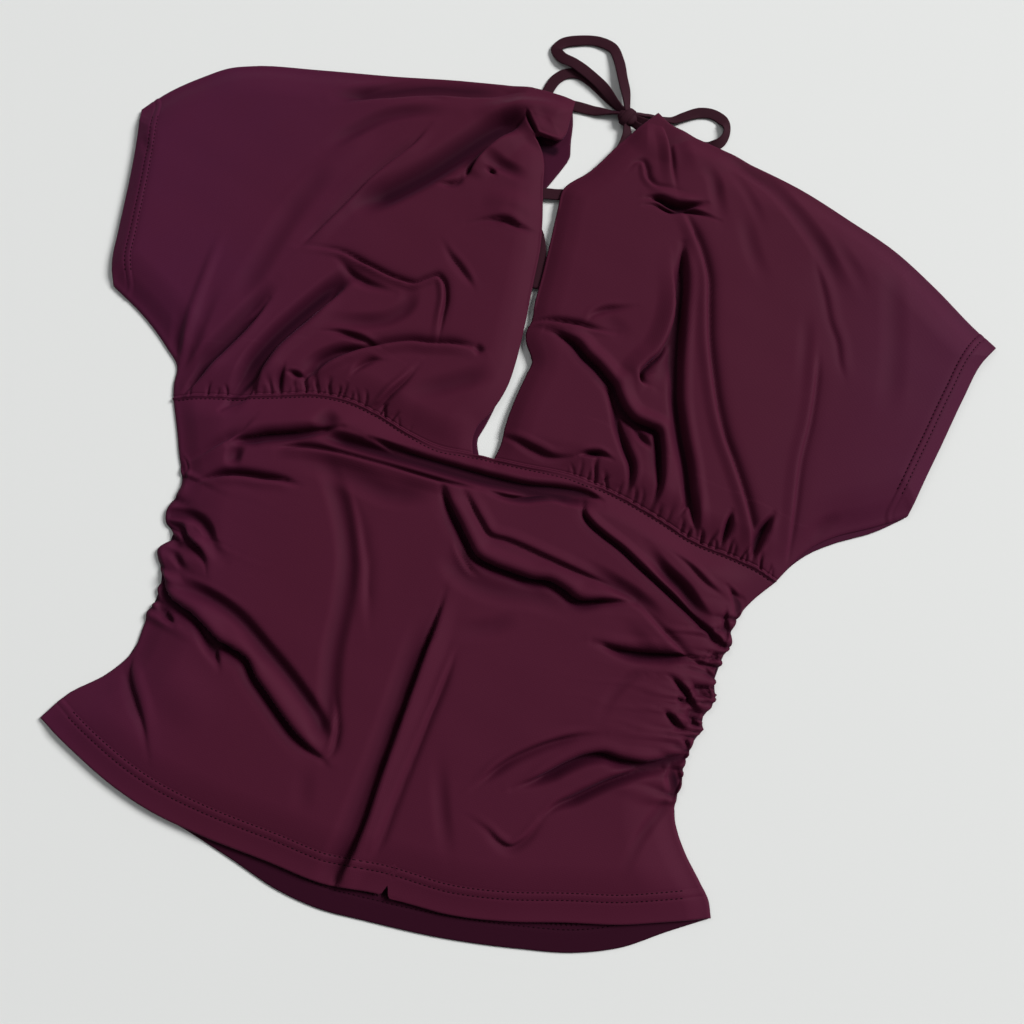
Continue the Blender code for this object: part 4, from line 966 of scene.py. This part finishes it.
def front_surface(x, y):
    """Where each point of the laid-out front comes to lie, and how much shade is painted on it in its folds
    and between its puckers.

    The height is the front's rest plus a loft that grows from the edges, plus the folds,
    the gathers, the ruching and small waves, kept above the back by a smooth maximum.
    Closed edges curl down to the back and free ones end in a rounded turn.
    """
    sizes = bpy.context.scene.top_sizes
    lift, slip, shade = np.zeros_like(x), np.zeros((len(x), 2)), np.zeros_like(x)
    for crease in CREASES:
        add_crease(crease, x, y, lift, slip, shade)
    for swell in SWELLS:
        add_swell(swell, x, y, lift, shade)
    sides, openings = nearest_of(SIDE_EDGES, x, y), nearest_of(OPENINGS, x, y)
    hem_edge = nearest_on(FRONT_HEM_EDGE, x, y).distance
    closed = np.minimum(nearest_of(SHOULDER_EDGES, x, y), sides)
    edge = np.minimum(closed, np.minimum(openings, hem_edge))
    free = smoothstep(closed / FOLDS_FULL)
    puckers, bulge, gaps = ruching(x, y)
    above = y - seam_height_at(x)
    rise = sizes.loft / MM * loft_share(above, closed, sides, openings, hem_edge)
    rise += free * lift + smoothstep(edge / WAVES_FULL) * unevenness(x, y)
    gathered = sizes.gather_height / MM * gathers(x, y) + sizes.ruche_height / MM * puckers
    rise += (GATHERED_AT_EDGE + (1 - GATHERED_AT_EDGE) * free) * gathered
    rise = 0.5 * (rise + np.sqrt(rise**2 + SOFTNESS) - SOFTNESS)
    rise = np.maximum(rise, tucks(UNDER_FRONT, OVER_TIE_FRONT, x, y)) + seam_relief(above)
    for hem in (FRONT_HEM, CUFF_HEM_RIGHT, CUFF_HEM_LEFT):
        rise += hem_relief(hem, x, y)
    rise += tucks(UNDER_BACK, OVER_TIE_BACK, x, y)
    drop = np.maximum(rounded(closed, CURL_REACH, CURL_DROP), rounded(edge, TURN_REACH, TURN_DROP))
    z = sizes.front_top / MM + rise - drop
    slip = free[:, None] * slip
    # Painted shade in the gaps between the puckers
    shade = np.maximum(shade, np.minimum(GAP_SHADE * gaps, 1))
    return np.stack([x + slip[:, 0] + BULGE * bulge, y + slip[:, 1], z, shade], -1)


def back_surface(x, y):
    """Where each point of the laid-out back comes to lie, and how much shade is painted on it under the flap
    at the neck.

    It lies flat but for the ties tucked under its shoulders, its hem and its rounded edges.
    """
    rise = tucks(UNDER_BACK, OVER_TIE_BACK, x, y) + hem_relief(BACK_HEM, x, y)
    drop = rounded(nearest_of(BACK_OPENINGS, x, y), TURN_REACH, BACK_TURN_DROP)
    z = bpy.context.scene.top_sizes.back_top / MM + rise - drop
    # Painted shade in the pocket under the neck's flap
    pocket = nearest_on(smooth_curve(NECK_POCKET, 5), x, y).distance
    return np.stack([x, y, z, smoothstep(1.5 - 1.5 * pocket / POCKET_REACH)], -1)


def fitted(curve, start, end):
    """The curve moved a little, more towards each end, to run from start to end exactly."""
    share = np.linspace(0, 1, len(curve))[:, None]
    return curve + (1 - share) * (start - curve[0]) + share * (end - curve[-1])


def patch(bottom, top, left, right, u, v):
    """The grid of a patch between four edge curves.

    Each point is the blend of the bottom and top by v, plus the blend of the left and
    right by u, less the blend of the four corners.
    """
    left = fitted(left, bottom[0], top[0])
    right = fitted(right, bottom[-1], top[-1])
    low, high = along(bottom, u)[None], along(top, u)[None]
    near, far = along(left, v)[:, None], along(right, v)[:, None]
    u, v = u[None, :, None], v[:, None, None]
    corners = (1 - u) * ((1 - v) * bottom[0] + v * top[0]) + u * ((1 - v) * bottom[-1] + v * top[-1])
    return (1 - v) * low + v * high + (1 - u) * near + u * far - corners


def closer_at_ends(count, start=0.7, end=0.7):
    """Shares from 0 to 1 that lie closer together at the ends, by that part at each."""
    t = np.linspace(0, 1, count)
    first = t - start * np.sin(2 * np.pi * t) / (2 * np.pi)
    last = t - end * np.sin(2 * np.pi * t) / (2 * np.pi)
    return (1 - smoothstep(t)) * first + smoothstep(t) * last


def new_object(name, points, faces, material):
    """Makes one object of the points, in millimetres, smooth and in the scene."""
    mesh = bpy.data.meshes.new(name)
    mesh.from_pydata((points * MM).tolist(), [], faces)
    mesh.materials.append(material)
    mesh.update()
    mesh.shade_smooth()
    made = bpy.data.objects.new(name, mesh)
    bpy.context.scene.collection.objects.link(made)
    return made


def add_mesh(name, points, faces, material, uv=None):
    """Adds one piece of the points, in millimetres, with its UV map in metres."""
    piece = new_object(name, points, faces, material)
    if uv is not None:
        corners = np.empty(len(piece.data.loops), np.int32)
        piece.data.loops.foreach_get("vertex_index", corners)
        layer = piece.data.uv_layers.new(name="Cloth")
        layer.data.foreach_set("uv", (uv[corners] * MM).astype(np.float32).ravel())
    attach(piece, "root")
    return piece


def quads(index, turned=False):
    """Faces between the rows and columns of a grid of point numbers, the other way round if turned."""
    faces = np.stack([index[:-1, :-1], index[:-1, 1:], index[1:, 1:], index[1:, :-1]], -1).reshape(-1, 4)
    return faces[:, (0, 3, 2, 1)] if turned else faces


def ring_index(rings, sides, first=0):
    """The point numbers of a tube's rings, a row for each, in which its first point comes again last."""
    return first + sides * np.arange(rings)[:, None] + np.arange(sides + 1) % sides


def fan(tip, ring):
    """Triangles from the tip to each stretch of a ring of point numbers."""
    return np.stack([np.full(len(ring) - 1, tip), ring[:-1], ring[1:]], -1).tolist()


def across_and_up(forward):
    """Level unit vectors to the right of each direction, and the ones upright on both."""
    forward = forward / np.linalg.norm(forward, axis=1)[:, None]
    across = np.cross(forward, (0, 0, 1.0))
    across /= np.linalg.norm(across, axis=1)[:, None]
    return across, np.cross(across, forward)


# How low the lower faces of the back and of the front may reach
BACK_FLOOR, FRONT_FLOOR = 0.05, 0.3

# Each so many rows and columns of the upper face have one of the lower face
STRIDE = 4


def lowest_around(height, stride):
    """The lowest height within a stride of every stride-th row and column of a grid."""
    rows, columns = height.shape
    padded = np.pad(height, stride, mode="edge")
    low = np.full(((rows - 1) // stride + 1, (columns - 1) // stride + 1), np.inf)
    for row in range(2 * stride + 1):
        for column in range(2 * stride + 1):
            low = np.minimum(low, padded[row : row + rows : stride, column : column + columns : stride])
    return low


def add_panel(name, grid, surface, material, floor):
    """Adds a panel of cloth on a grid of laid-out points, thin and with its face up.

    The upper face has every point of the grid. The lower face has each fourth one, at the
    lowest height around it less the cloth's thickness, and a rim joins the two.
    """
    rows, columns = grid.shape[:2]
    flat = grid.reshape(-1, 2)
    top, shade = np.split(surface(flat[:, 0], flat[:, 1]), [3], axis=1)
    index = np.arange(rows * columns).reshape(rows, columns)
    coarse = top.reshape(rows, columns, 3)[::STRIDE, ::STRIDE].copy()
    lowest = lowest_around(top[:, 2].reshape(rows, columns), STRIDE)
    coarse[..., 2] = np.maximum(lowest - bpy.context.scene.top_sizes.cloth / MM, floor)
    under = rows * columns + np.arange(coarse.shape[0] * coarse.shape[1]).reshape(coarse.shape[:2])
    faces = quads(index).tolist() + quads(under, True).tolist()
    rims = (
        (index[0], under[0], 1), (index[:, -1], under[:, -1], 1),
        (index[-1], under[-1], -1), (index[:, 0], under[:, 0], -1),
    )
    for fine, rough, way in rims:
        for k in range(len(rough) - 1):
            face = [rough[k], rough[k + 1], *fine[STRIDE * k : STRIDE * (k + 1) + 1][::-1]]
            faces.append([int(corner) for corner in face[::way]])
    across, up = grid[0, 1] - grid[0, 0], grid[1, 0] - grid[0, 0]
    if across[0] * up[1] - across[1] * up[0] < 0:
        faces = [face[::-1] for face in faces]
    points = np.vstack([top, coarse.reshape(-1, 3)])
    uv = np.vstack([flat, grid[::STRIDE, ::STRIDE].reshape(-1, 2)])
    piece = add_mesh(name, points, faces, material, uv)
    # Painted shade for each point of the upper face, and none for the lower face
    painted_shade_values = np.concatenate([shade[:, 0], np.zeros(coarse.size // 3)]).astype(np.float32)
    layer = piece.data.attributes.new(name="Fold shade", type="FLOAT", domain="POINT")
    layer.data.foreach_set("value", painted_shade_values)
    return piece


# A stitch's rings of points: the share of its length at which each lies, its share of the
# thread's radius, and how many points it has
STITCH_RINGS = np.array([0.0, 0.12, 0.5, 0.88, 1.0])
STITCH_GIRTH = np.array([0.35, 0.85, 1.0, 0.85, 0.35])
STITCH_SIDES = 6


def add_stitches(name, starts, ends):
    """Adds a row of short stitches, each a round-ended thread from its start to its end.

    Rings of points lie along each stitch, thinner at its ends, and a sine lifts its middle
    by half the thread's radius.
    """
    radius = 0.5 * bpy.context.scene.top_sizes.thread / MM
    across, upward = across_and_up(ends - starts)
    turn = 2 * np.pi * np.arange(STITCH_SIDES) / STITCH_SIDES
    middle = starts[:, None] + STITCH_RINGS[None, :, None] * (ends - starts)[:, None]
    middle = middle + (0.5 * radius * np.sin(np.pi * STITCH_RINGS))[None, :, None] * upward[:, None]
    ring = across[:, None] * np.cos(turn)[None, :, None] + upward[:, None] * np.sin(turn)[None, :, None]
    points = middle[:, :, None] + (radius * STITCH_GIRTH)[None, :, None, None] * ring[:, None]
    index = ring_index(len(STITCH_RINGS), STITCH_SIDES)
    offsets = index[:, :-1].size * np.arange(len(starts))[:, None]
    faces = (offsets[:, None] + quads(index, True)).reshape(-1, 4).tolist()
    faces += (offsets + index[0, :-1]).tolist() + (offsets + index[-1, -2::-1]).tolist()
    return add_mesh(name, points.reshape(-1, 3), faces, thread())


def moved_in(edge, distance):
    """The edge curve moved to its left by the distance, at even steps."""
    curve = smooth_curve(edge)
    forward = np.gradient(curve, axis=0)
    forward /= np.linalg.norm(forward, axis=1)[:, None]
    return curve + distance * np.stack([-forward[:, 1], forward[:, 0]], -1)


# How much of a curve its row of stitches leaves bare at the start and at the end
BARE_START, BARE_END = 1, 3


def row_ends(curve):
    """The starts and ends of the stitches of a row along a laid-out curve."""
    sizes = bpy.context.scene.top_sizes
    run = run_of(curve)
    places = np.arange(BARE_START, run[-1] - BARE_END, sizes.stitch_pitch / MM)
    return along(curve, places / run[-1]), along(curve, (places + sizes.stitch / MM) / run[-1])


def laid_on(surface, flat, sunk=0.0):
    """Laid-out points brought onto a surface, or sunk a little into it."""
    return surface(flat[:, 0], flat[:, 1])[:, :3] - np.array([0, 0, sunk])


def sewn_rows(name, curves, surface, sunk=0.0):
    """Adds stitches along the curves, on the surface or sunk a little into it."""
    starts, ends = (np.vstack(column) for column in zip(*(row_ends(curve) for curve in curves)))
    return add_stitches(name, laid_on(surface, starts, sunk), laid_on(surface, ends, sunk))


def zigzag(name, first, second, surface, pitch):
    """Adds an edge-binding zigzag, its points on two laid-out curves in turn."""
    count = 2 * int(run_of(first)[-1] / pitch) + 1
    share = np.arange(count) / (count - 1)
    on_first = (np.arange(count) % 2 == 0)[:, None]
    points = laid_on(surface, np.where(on_first, along(first, share), along(second, share)))
    return add_stitches(name, points[:-1], points[1:])


def seam_between(low_x, high_x, shift):
    """The stretch of the waist seam between two places, moved up or down by the shift."""
    x = np.linspace(low_x, high_x, 200)
    return np.stack([x, seam_height_at(x) + shift], -1)


SEAM_CURVE = smooth_curve(WAIST_SEAM)
SLEEVE_RIGHT = joined(smooth_curve(UNDERARM_RIGHT)[::-1], smooth_curve(CUFF_RIGHT)[::-1])
SLEEVE_LEFT = joined(smooth_curve(UNDERARM_LEFT)[::-1], smooth_curve(CUFF_LEFT)[::-1])
BACK_SLEEVE_LEFT = joined(smooth_curve(BACK_UNDERARM_LEFT)[::-1], smooth_curve(CUFF_LEFT)[::-1])
LOWER_RIGHT, LOWER_LEFT = smooth_curve(SIDE_RIGHT), smooth_curve(SIDE_LEFT)

# Coarser curves, for distances only
SHOULDER_EDGES = (smooth_curve(SHOULDER_RIGHT, 5), smooth_curve(SHOULDER_LEFT, 5))
SIDE_EDGES = (
    joined(smooth_curve(UNDERARM_RIGHT, 5), smooth_curve(SIDE_RIGHT, 5)),
    joined(smooth_curve(UNDERARM_LEFT, 5), smooth_curve(SIDE_LEFT, 5)),
)
OPENINGS = tuple(smooth_curve(edge, 5) for edge in (SLIT_RIGHT, SLIT_LEFT, CUFF_RIGHT, CUFF_LEFT))
FRONT_HEM_EDGE = smooth_curve(HEM_FRONT, 5)
BACK_OPENINGS = tuple(
    smooth_curve(edge, 5) for edge in (BACK_SLIT_RIGHT, BACK_SLIT_LEFT, CUFF_RIGHT, CUFF_LEFT, HEM_BACK)
)


# A tie's rings: how many points each has, how far apart they are, and the powers of the cosine
# across and the sine upwards that make them nearly rectangular
TIE_SIDES, TIE_STEP = 16, 1.0
ACROSS_POWER, UP_POWER = 0.45, 0.3


def add_tie(name, route, material):
    """Adds a flat tie and returns it with its middle line.

    A nearly rectangular ring is carried along the route. Where the route says that less
    than the full width shows, the band is a little narrower and turned about its middle
    line, and it is lifted so that its lower edge stays off the table.
    """
    sizes = bpy.context.scene.top_sizes
    curve = smooth_curve(route)
    rings = int(run_of(curve, 3)[-1] / TIE_STEP)
    middle = along(curve, np.linspace(0, 1, rings))
    across, upward = across_and_up(np.gradient(middle[:, :3], axis=0))
    run = run_of(middle, 3)
    shown = np.clip(middle[:, 3], 0.3, 1)
    half_width = 0.5 * sizes.tie_width / MM * shown**0.6 * (1 + 0.02 * np.sin(run / 3.1))
    lean = np.arccos(shown**0.4)
    lying = across * np.cos(lean)[:, None] + upward * np.sin(lean)[:, None]
    facing = upward * np.cos(lean)[:, None] - across * np.sin(lean)[:, None]
    thickness = sizes.tie_thickness / MM * (1 + 0.5 * (1 - shown) + 0.05 * np.sin(run / 2.3))
    ends = np.sqrt(np.clip(1 - (1 - np.minimum(run, run[-1] - run) / 0.8).clip(0, 1) ** 2, 0.05, 1))
    turn = 2 * np.pi * (np.arange(TIE_SIDES) + 0.5) / TIE_SIDES
    flat = np.sign(np.cos(turn)) * np.abs(np.cos(turn)) ** ACROSS_POWER
    thick = np.sign(np.sin(turn)) * np.abs(np.sin(turn)) ** UP_POWER
    centre = middle[:, :3].copy()
    centre[:, 2] = np.maximum(centre[:, 2], half_width * np.sin(lean) + 0.5 * thickness + 0.05)
    points = (
        centre[:, None]
        + lying[:, None] * (half_width[:, None] * flat[None])[..., None]
        + facing[:, None] * ((0.5 * thickness * ends)[:, None] * thick[None])[..., None]
    ).reshape(-1, 3)
    index = ring_index(rings, TIE_SIDES)
    faces = quads(index, True).tolist() + [index[0, :-1].tolist(), index[-1, -2::-1].tolist()]
    around = np.abs(np.arange(TIE_SIDES) - TIE_SIDES / 2) * 2 * sizes.tie_width / MM / TIE_SIDES
    uv = np.stack([np.repeat(run, TIE_SIDES), np.tile(around, rings)], -1)
    return add_mesh(name, points, faces, material, uv), centre * MM


def add_knot(name, material):
    """Adds the bow's knot.

    It is an ellipsoid whose radius grows under a slanting wrapped band and drops in a
    groove at both of the band's edges, with finer creases on either side of it.
    """
    rings, sides = 46, 72
    tilt = np.linspace(0, np.pi, rings + 2)[1:-1, None]
    turn = 2 * np.pi * np.arange(sides)[None, :] / sides
    unit = np.stack([np.sin(tilt) * np.cos(turn), np.sin(tilt) * np.sin(turn), np.cos(tilt) + 0 * turn], -1)
    unit = np.vstack([[(0, 0, 1)], unit.reshape(-1, 3), [(0, 0, -1)]])
    band = unit[:, 0] * 0.93 - unit[:, 1] * 0.36
    radius = 0.90 + 0.12 * smoothstep((0.40 - np.abs(band)) / 0.10) - 0.10 * bell(np.abs(band), 0.43, 0.06)
    radius -= 0.035 * bell(band, 0.12, 0.05) + 0.05 * bell(band, -0.70, 0.08)
    points = unit * radius[:, None] * KNOT_HALF_SIZE + KNOT_CENTRE
    index = ring_index(rings, sides, 1)
    faces = fan(0, index[0]) + quads(index, True).tolist() + fan(len(points) - 1, index[-1, ::-1])
    return add_mesh(name, points, faces, material, points[:, :2])


def stand_for(piece, slot, *nodes):
    """Hides the CAD nodes that a piece stands for."""
    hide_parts(*nodes)


def cloth_material(kind):
    """The jersey of the front, the back, the back's lower panel darkened by painted shade, or the ties."""
    colours = bpy.context.scene.top_colours
    # Each cloth's colour, the plum light tint painted toward its sleeves, and that tint's share
    colour, plum, plum_light_share = {
        "front": (colours.jersey, colours.plum_light_tint, 1.0),
        "back": (colours.inside, colours.plum_light_tint, 0.5),
        "back lower painted shade": (tuple(HEM_PAINTED_SHADE * part for part in colours.inside), colours.inside, 0.5),
        "tie": (colours.tie, colours.plum_light_tint, 0.0),
    }[kind]
    return jersey(kind + " jersey", colour, plum, plum_light_share)


# The camera: how far it is turned and leans back, in degrees, what it looks at on the table
# and from how far, in metres, and its lens and sensor
CAMERA_TURN, CAMERA_LEAN = 16, 12
CAMERA_AIM, CAMERA_DISTANCE = (0.023, -0.0165, 0), 0.5743
LENS, SENSOR = 35.33, 36.0

# The soft square lights: name, place and size in metres, power and colour
LIGHTS = (
    ("Key", (8.6, 7.2, 9.2), 5.6, 2480.0, (1.0, 0.985, 0.98)),
    ("Fill", (-3.2, 1.6, 5.0), 3.6, 40.0, (1.0, 0.985, 0.99)),
)
ROOM_COLOUR, ROOM_STRENGTH = (0.97, 0.985, 1.0, 1), 0.16

# The table top's sides, and the radius of its inner and outer rings, in millimetres
TABLE_SIDES, TABLE_RINGS = 64, (600, 3000)


class TOP_OT_stage(bpy.types.Operator):
    """Adds the camera at the viewing angle, soft light and a plain table"""

    bl_idname = "top.stage"
    bl_label = "Camera, light and table"

    def execute(self, context):
        scene = context.scene
        turn, lean = np.radians(CAMERA_TURN), np.radians(CAMERA_LEAN)
        right = Vector((np.cos(turn), np.sin(turn), 0))
        away = Vector((-np.sin(turn), np.cos(turn), 0))
        back = -away * np.sin(lean) + Vector((0, 0, np.cos(lean)))
        up = away * np.cos(lean) + Vector((0, 0, np.sin(lean)))
        data = bpy.data.cameras.new("Camera")
        data.sensor_width, data.lens = SENSOR, LENS
        scene.camera = bpy.data.objects.new("Camera", data)
        scene.collection.objects.link(scene.camera)
        place = Matrix.Translation(Vector(CAMERA_AIM) + back * CAMERA_DISTANCE)
        scene.camera.matrix_world = place @ Matrix((right, up, back)).transposed().to_4x4()
        for light in LIGHTS:
            self.add_light(scene, *light)
        scene.world = bpy.data.worlds.new("Room")
        scene.world.use_nodes = True
        room = scene.world.node_tree.nodes["Background"].inputs
        room["Color"].default_value, room["Strength"].default_value = ROOM_COLOUR, ROOM_STRENGTH
        scene.view_settings.view_transform = "Standard"
        self.add_table()
        return {"FINISHED"}

    def add_light(self, scene, name, place, size, power, colour):
        """Adds a soft square light at the place, facing the middle of the table."""
        data = bpy.data.lights.new(name, "AREA")
        data.size, data.energy, data.color = size, power, colour
        light = bpy.data.objects.new(name, data)
        turned = Vector(place).to_track_quat("Z", "Y").to_matrix().to_4x4()
        light.matrix_world = Matrix.Translation(place) @ turned
        scene.collection.objects.link(light)

    def add_table(self):
        """Adds a round table top far wider than the view: rings of points around its middle."""
        turn = 2 * np.pi * np.arange(TABLE_SIDES) / TABLE_SIDES
        ring = np.stack([np.cos(turn), np.sin(turn), 0 * turn], -1)
        points = np.vstack([[(0, 0, 0)], *(radius * ring for radius in TABLE_RINGS)])
        index = ring_index(len(TABLE_RINGS), TABLE_SIDES, 1)
        faces = fan(0, index[0]) + quads(index, True).tolist()
        new_object("table_top", points, faces, table_top())


class TOP_OT_ties(bpy.types.Operator):
    """Adds the two neck ties and the bow's knot"""

    bl_idname = "top.ties"
    bl_label = "Neck ties"

    def execute(self, context):
        material = cloth_material("tie")
        knot = add_knot("bow_knot", material)
        stand_for(knot, "tie_cloth", "tie_knot")
        right, right_path = add_tie("neck_tie_right", TIE_RIGHT, material)
        stand_for(right, "tie_cloth", "tie_strap_right", "tie_loop_left", "tie_end_right")
        left, left_path = add_tie("neck_tie_left", TIE_LEFT, material)
        stand_for(left, "tie_cloth", "tie_strap_left", "tie_loop_right", "tie_end_left")
        return {"FINISHED"}


# How far the panels stop short of the waist seam
BACK_SEAM_GAP, FRONT_SEAM_GAP = 0.15, 0.1

# How far in from the back's hem the edges of its zigzag binding are, and the zigzag's pitch
BINDING_DEPTHS, BINDING_PITCH = (17.0, 13.2), 2.6

# How far the stitches of the front are sunk into its cloth
STITCH_SUNK = 0.05


class TOP_OT_back(bpy.types.Operator):
    """Adds the two halves and the lower panel of the back"""

    bl_idname = "top.back"
    bl_label = "Back"

    def execute(self, context):
        material = cloth_material("back")
        across, up = closer_at_ends(121), closer_at_ends(129)
        shoulder_right = smooth_curve(((-13, 245),) + SHOULDER_RIGHT[1:])
        shoulder_left = smooth_curve(((54, 243),) + SHOULDER_LEFT[2:])
        halves = (
            ("right", BACK_SLIT_RIGHT, WAIST_SEAM[0][0], shoulder_right, SLEEVE_RIGHT),
            ("left", BACK_SLIT_LEFT, WAIST_SEAM[-1][0], shoulder_left, BACK_SLEEVE_LEFT),
        )
        for side, slit, end, shoulder, sleeve in halves:
            seam = seam_between(slit[0][0], end, BACK_SEAM_GAP)
            grid = patch(seam, shoulder, smooth_curve(slit), sleeve, across, up)
            piece = add_panel("back_half_" + side, grid, back_surface, material, BACK_FLOOR)
            stand_for(piece, "back_cloth", "back_bodice_" + side)
        seam = seam_between(WAIST_SEAM[0][0], WAIST_SEAM[-1][0], -BACK_SEAM_GAP)
        grid = patch(seam, smooth_curve(HEM_BACK), LOWER_RIGHT, LOWER_LEFT, closer_at_ends(169), up)
        # The back's lower panel, its colour darkened by painted shade
        lower = add_panel("back_lower_panel", grid, back_surface, cloth_material("back lower painted shade"), BACK_FLOOR)
        stand_for(lower, "back_cloth", "back_lower")
        first, second = (moved_in(HEM_BACK, depth)[20:-20] for depth in BINDING_DEPTHS)
        binding = zigzag("back_hem_binding", first, second, back_surface, BINDING_PITCH)
        curves = [moved_in(HEM_BACK, row)[8:-8] for row in BACK_HEM.rows]
        rows = sewn_rows("back_hem_stitches", curves, back_surface)
        return {"FINISHED"}


class TOP_OT_bodice(bpy.types.Operator):
    """Adds the two front halves with their batwing sleeves, gathered into the waist seam"""

    bl_idname = "top.bodice"
    bl_label = "Front halves"

    def execute(self, context):
        material = cloth_material("front")
        across, up = closer_at_ends(281, 0.5, 0.6), closer_at_ends(297, 0.75, 0.5)
        halves = (
            ("right", SLIT_RIGHT, WAIST_SEAM[0][0], SHOULDER_RIGHT, SLEEVE_RIGHT, CUFF_HEM_RIGHT, -1),
            ("left", SLIT_LEFT, WAIST_SEAM[-1][0], SHOULDER_LEFT, SLEEVE_LEFT, CUFF_HEM_LEFT, 1),
        )
        for side, slit, end, shoulder, sleeve, cuff, way in halves:
            seam = seam_between(slit[0][0], end, FRONT_SEAM_GAP)
            grid = patch(seam, smooth_curve(shoulder), smooth_curve(slit), sleeve, across, up)
            piece = add_panel("front_half_" + side, grid, front_surface, material, FRONT_FLOOR)
            stand_for(piece, "bodice_cloth", "front_bodice_" + side)
            curves = [moved_in(cuff.edge, -way * row)[4:-4] for row in cuff.rows]
            stitches = sewn_rows("cuff_stitches_" + side, curves, front_surface, STITCH_SUNK)
        return {"FINISHED"}


class TOP_OT_lower(bpy.types.Operator):
    """Adds the front's lower panel, ruched at both sides, with its hem and seam stitches"""

    bl_idname = "top.lower"
    bl_label = "Front lower panel"

    def execute(self, context):
        seam = seam_between(WAIST_SEAM[0][0], WAIST_SEAM[-1][0], -FRONT_SEAM_GAP)
        hem_curve = smooth_curve(HEM_FRONT[:8] + HEM_PLEAT + HEM_FRONT[8:])
        across, down = closer_at_ends(361, 0.6, 0.6), closer_at_ends(245, 0.6, 0.4)
        grid = patch(seam, hem_curve, LOWER_RIGHT, LOWER_LEFT, across, down)
        panel = add_panel("front_lower_panel", grid, front_surface, cloth_material("front"), FRONT_FLOOR)
        stand_for(panel, "lower_cloth", "front_lower")
        hem_rows = [moved_in(HEM_FRONT, row)[6:-6] for row in FRONT_HEM.rows]
        hem = sewn_rows("front_hem_stitches", hem_rows, front_surface, STITCH_SUNK)
        seam_row = seam_between(-183, 174, -TOPSTITCH_BELOW)
        topstitch = sewn_rows("waist_topstitch", [seam_row], front_surface, STITCH_SUNK)
        return {"FINISHED"}


class TOP_PT_panel(bpy.types.Panel):
    """Lists the steps that make the top"""

    bl_idname = "TOP_PT_panel"
    bl_label = "Tie-neck batwing top"
    bl_space_type = "VIEW_3D"
    bl_region_type = "UI"
    bl_category = "Top"

    def draw(self, context):
        for step in STEPS:
            self.layout.operator(step.bl_idname)
        for group in (context.scene.top_sizes, context.scene.top_colours):
            for name in group.__annotations__:
                self.layout.prop(group, name)


STEPS = (TOP_OT_stage, TOP_OT_ties, TOP_OT_back, TOP_OT_bodice, TOP_OT_lower)
CLASSES = (TopSizes, TopColours, *STEPS, TOP_PT_panel)


def register():
    """Registers the classes and puts the sizes and colours on the scene."""
    for made in CLASSES:
        bpy.utils.register_class(made)
    bpy.types.Scene.top_sizes = bpy.props.PointerProperty(type=TopSizes)
    bpy.types.Scene.top_colours = bpy.props.PointerProperty(type=TopColours)


def unregister():
    """Takes back what register did."""
    del bpy.types.Scene.top_colours
    del bpy.types.Scene.top_sizes
    for made in reversed(CLASSES):
        bpy.utils.unregister_class(made)


def main():
    """Makes every piece in order."""
    register()
    bpy.ops.top.stage()
    bpy.ops.top.ties()
    bpy.ops.top.back()
    bpy.ops.top.bodice()
    bpy.ops.top.lower()


if __name__ == "__main__":
    main()
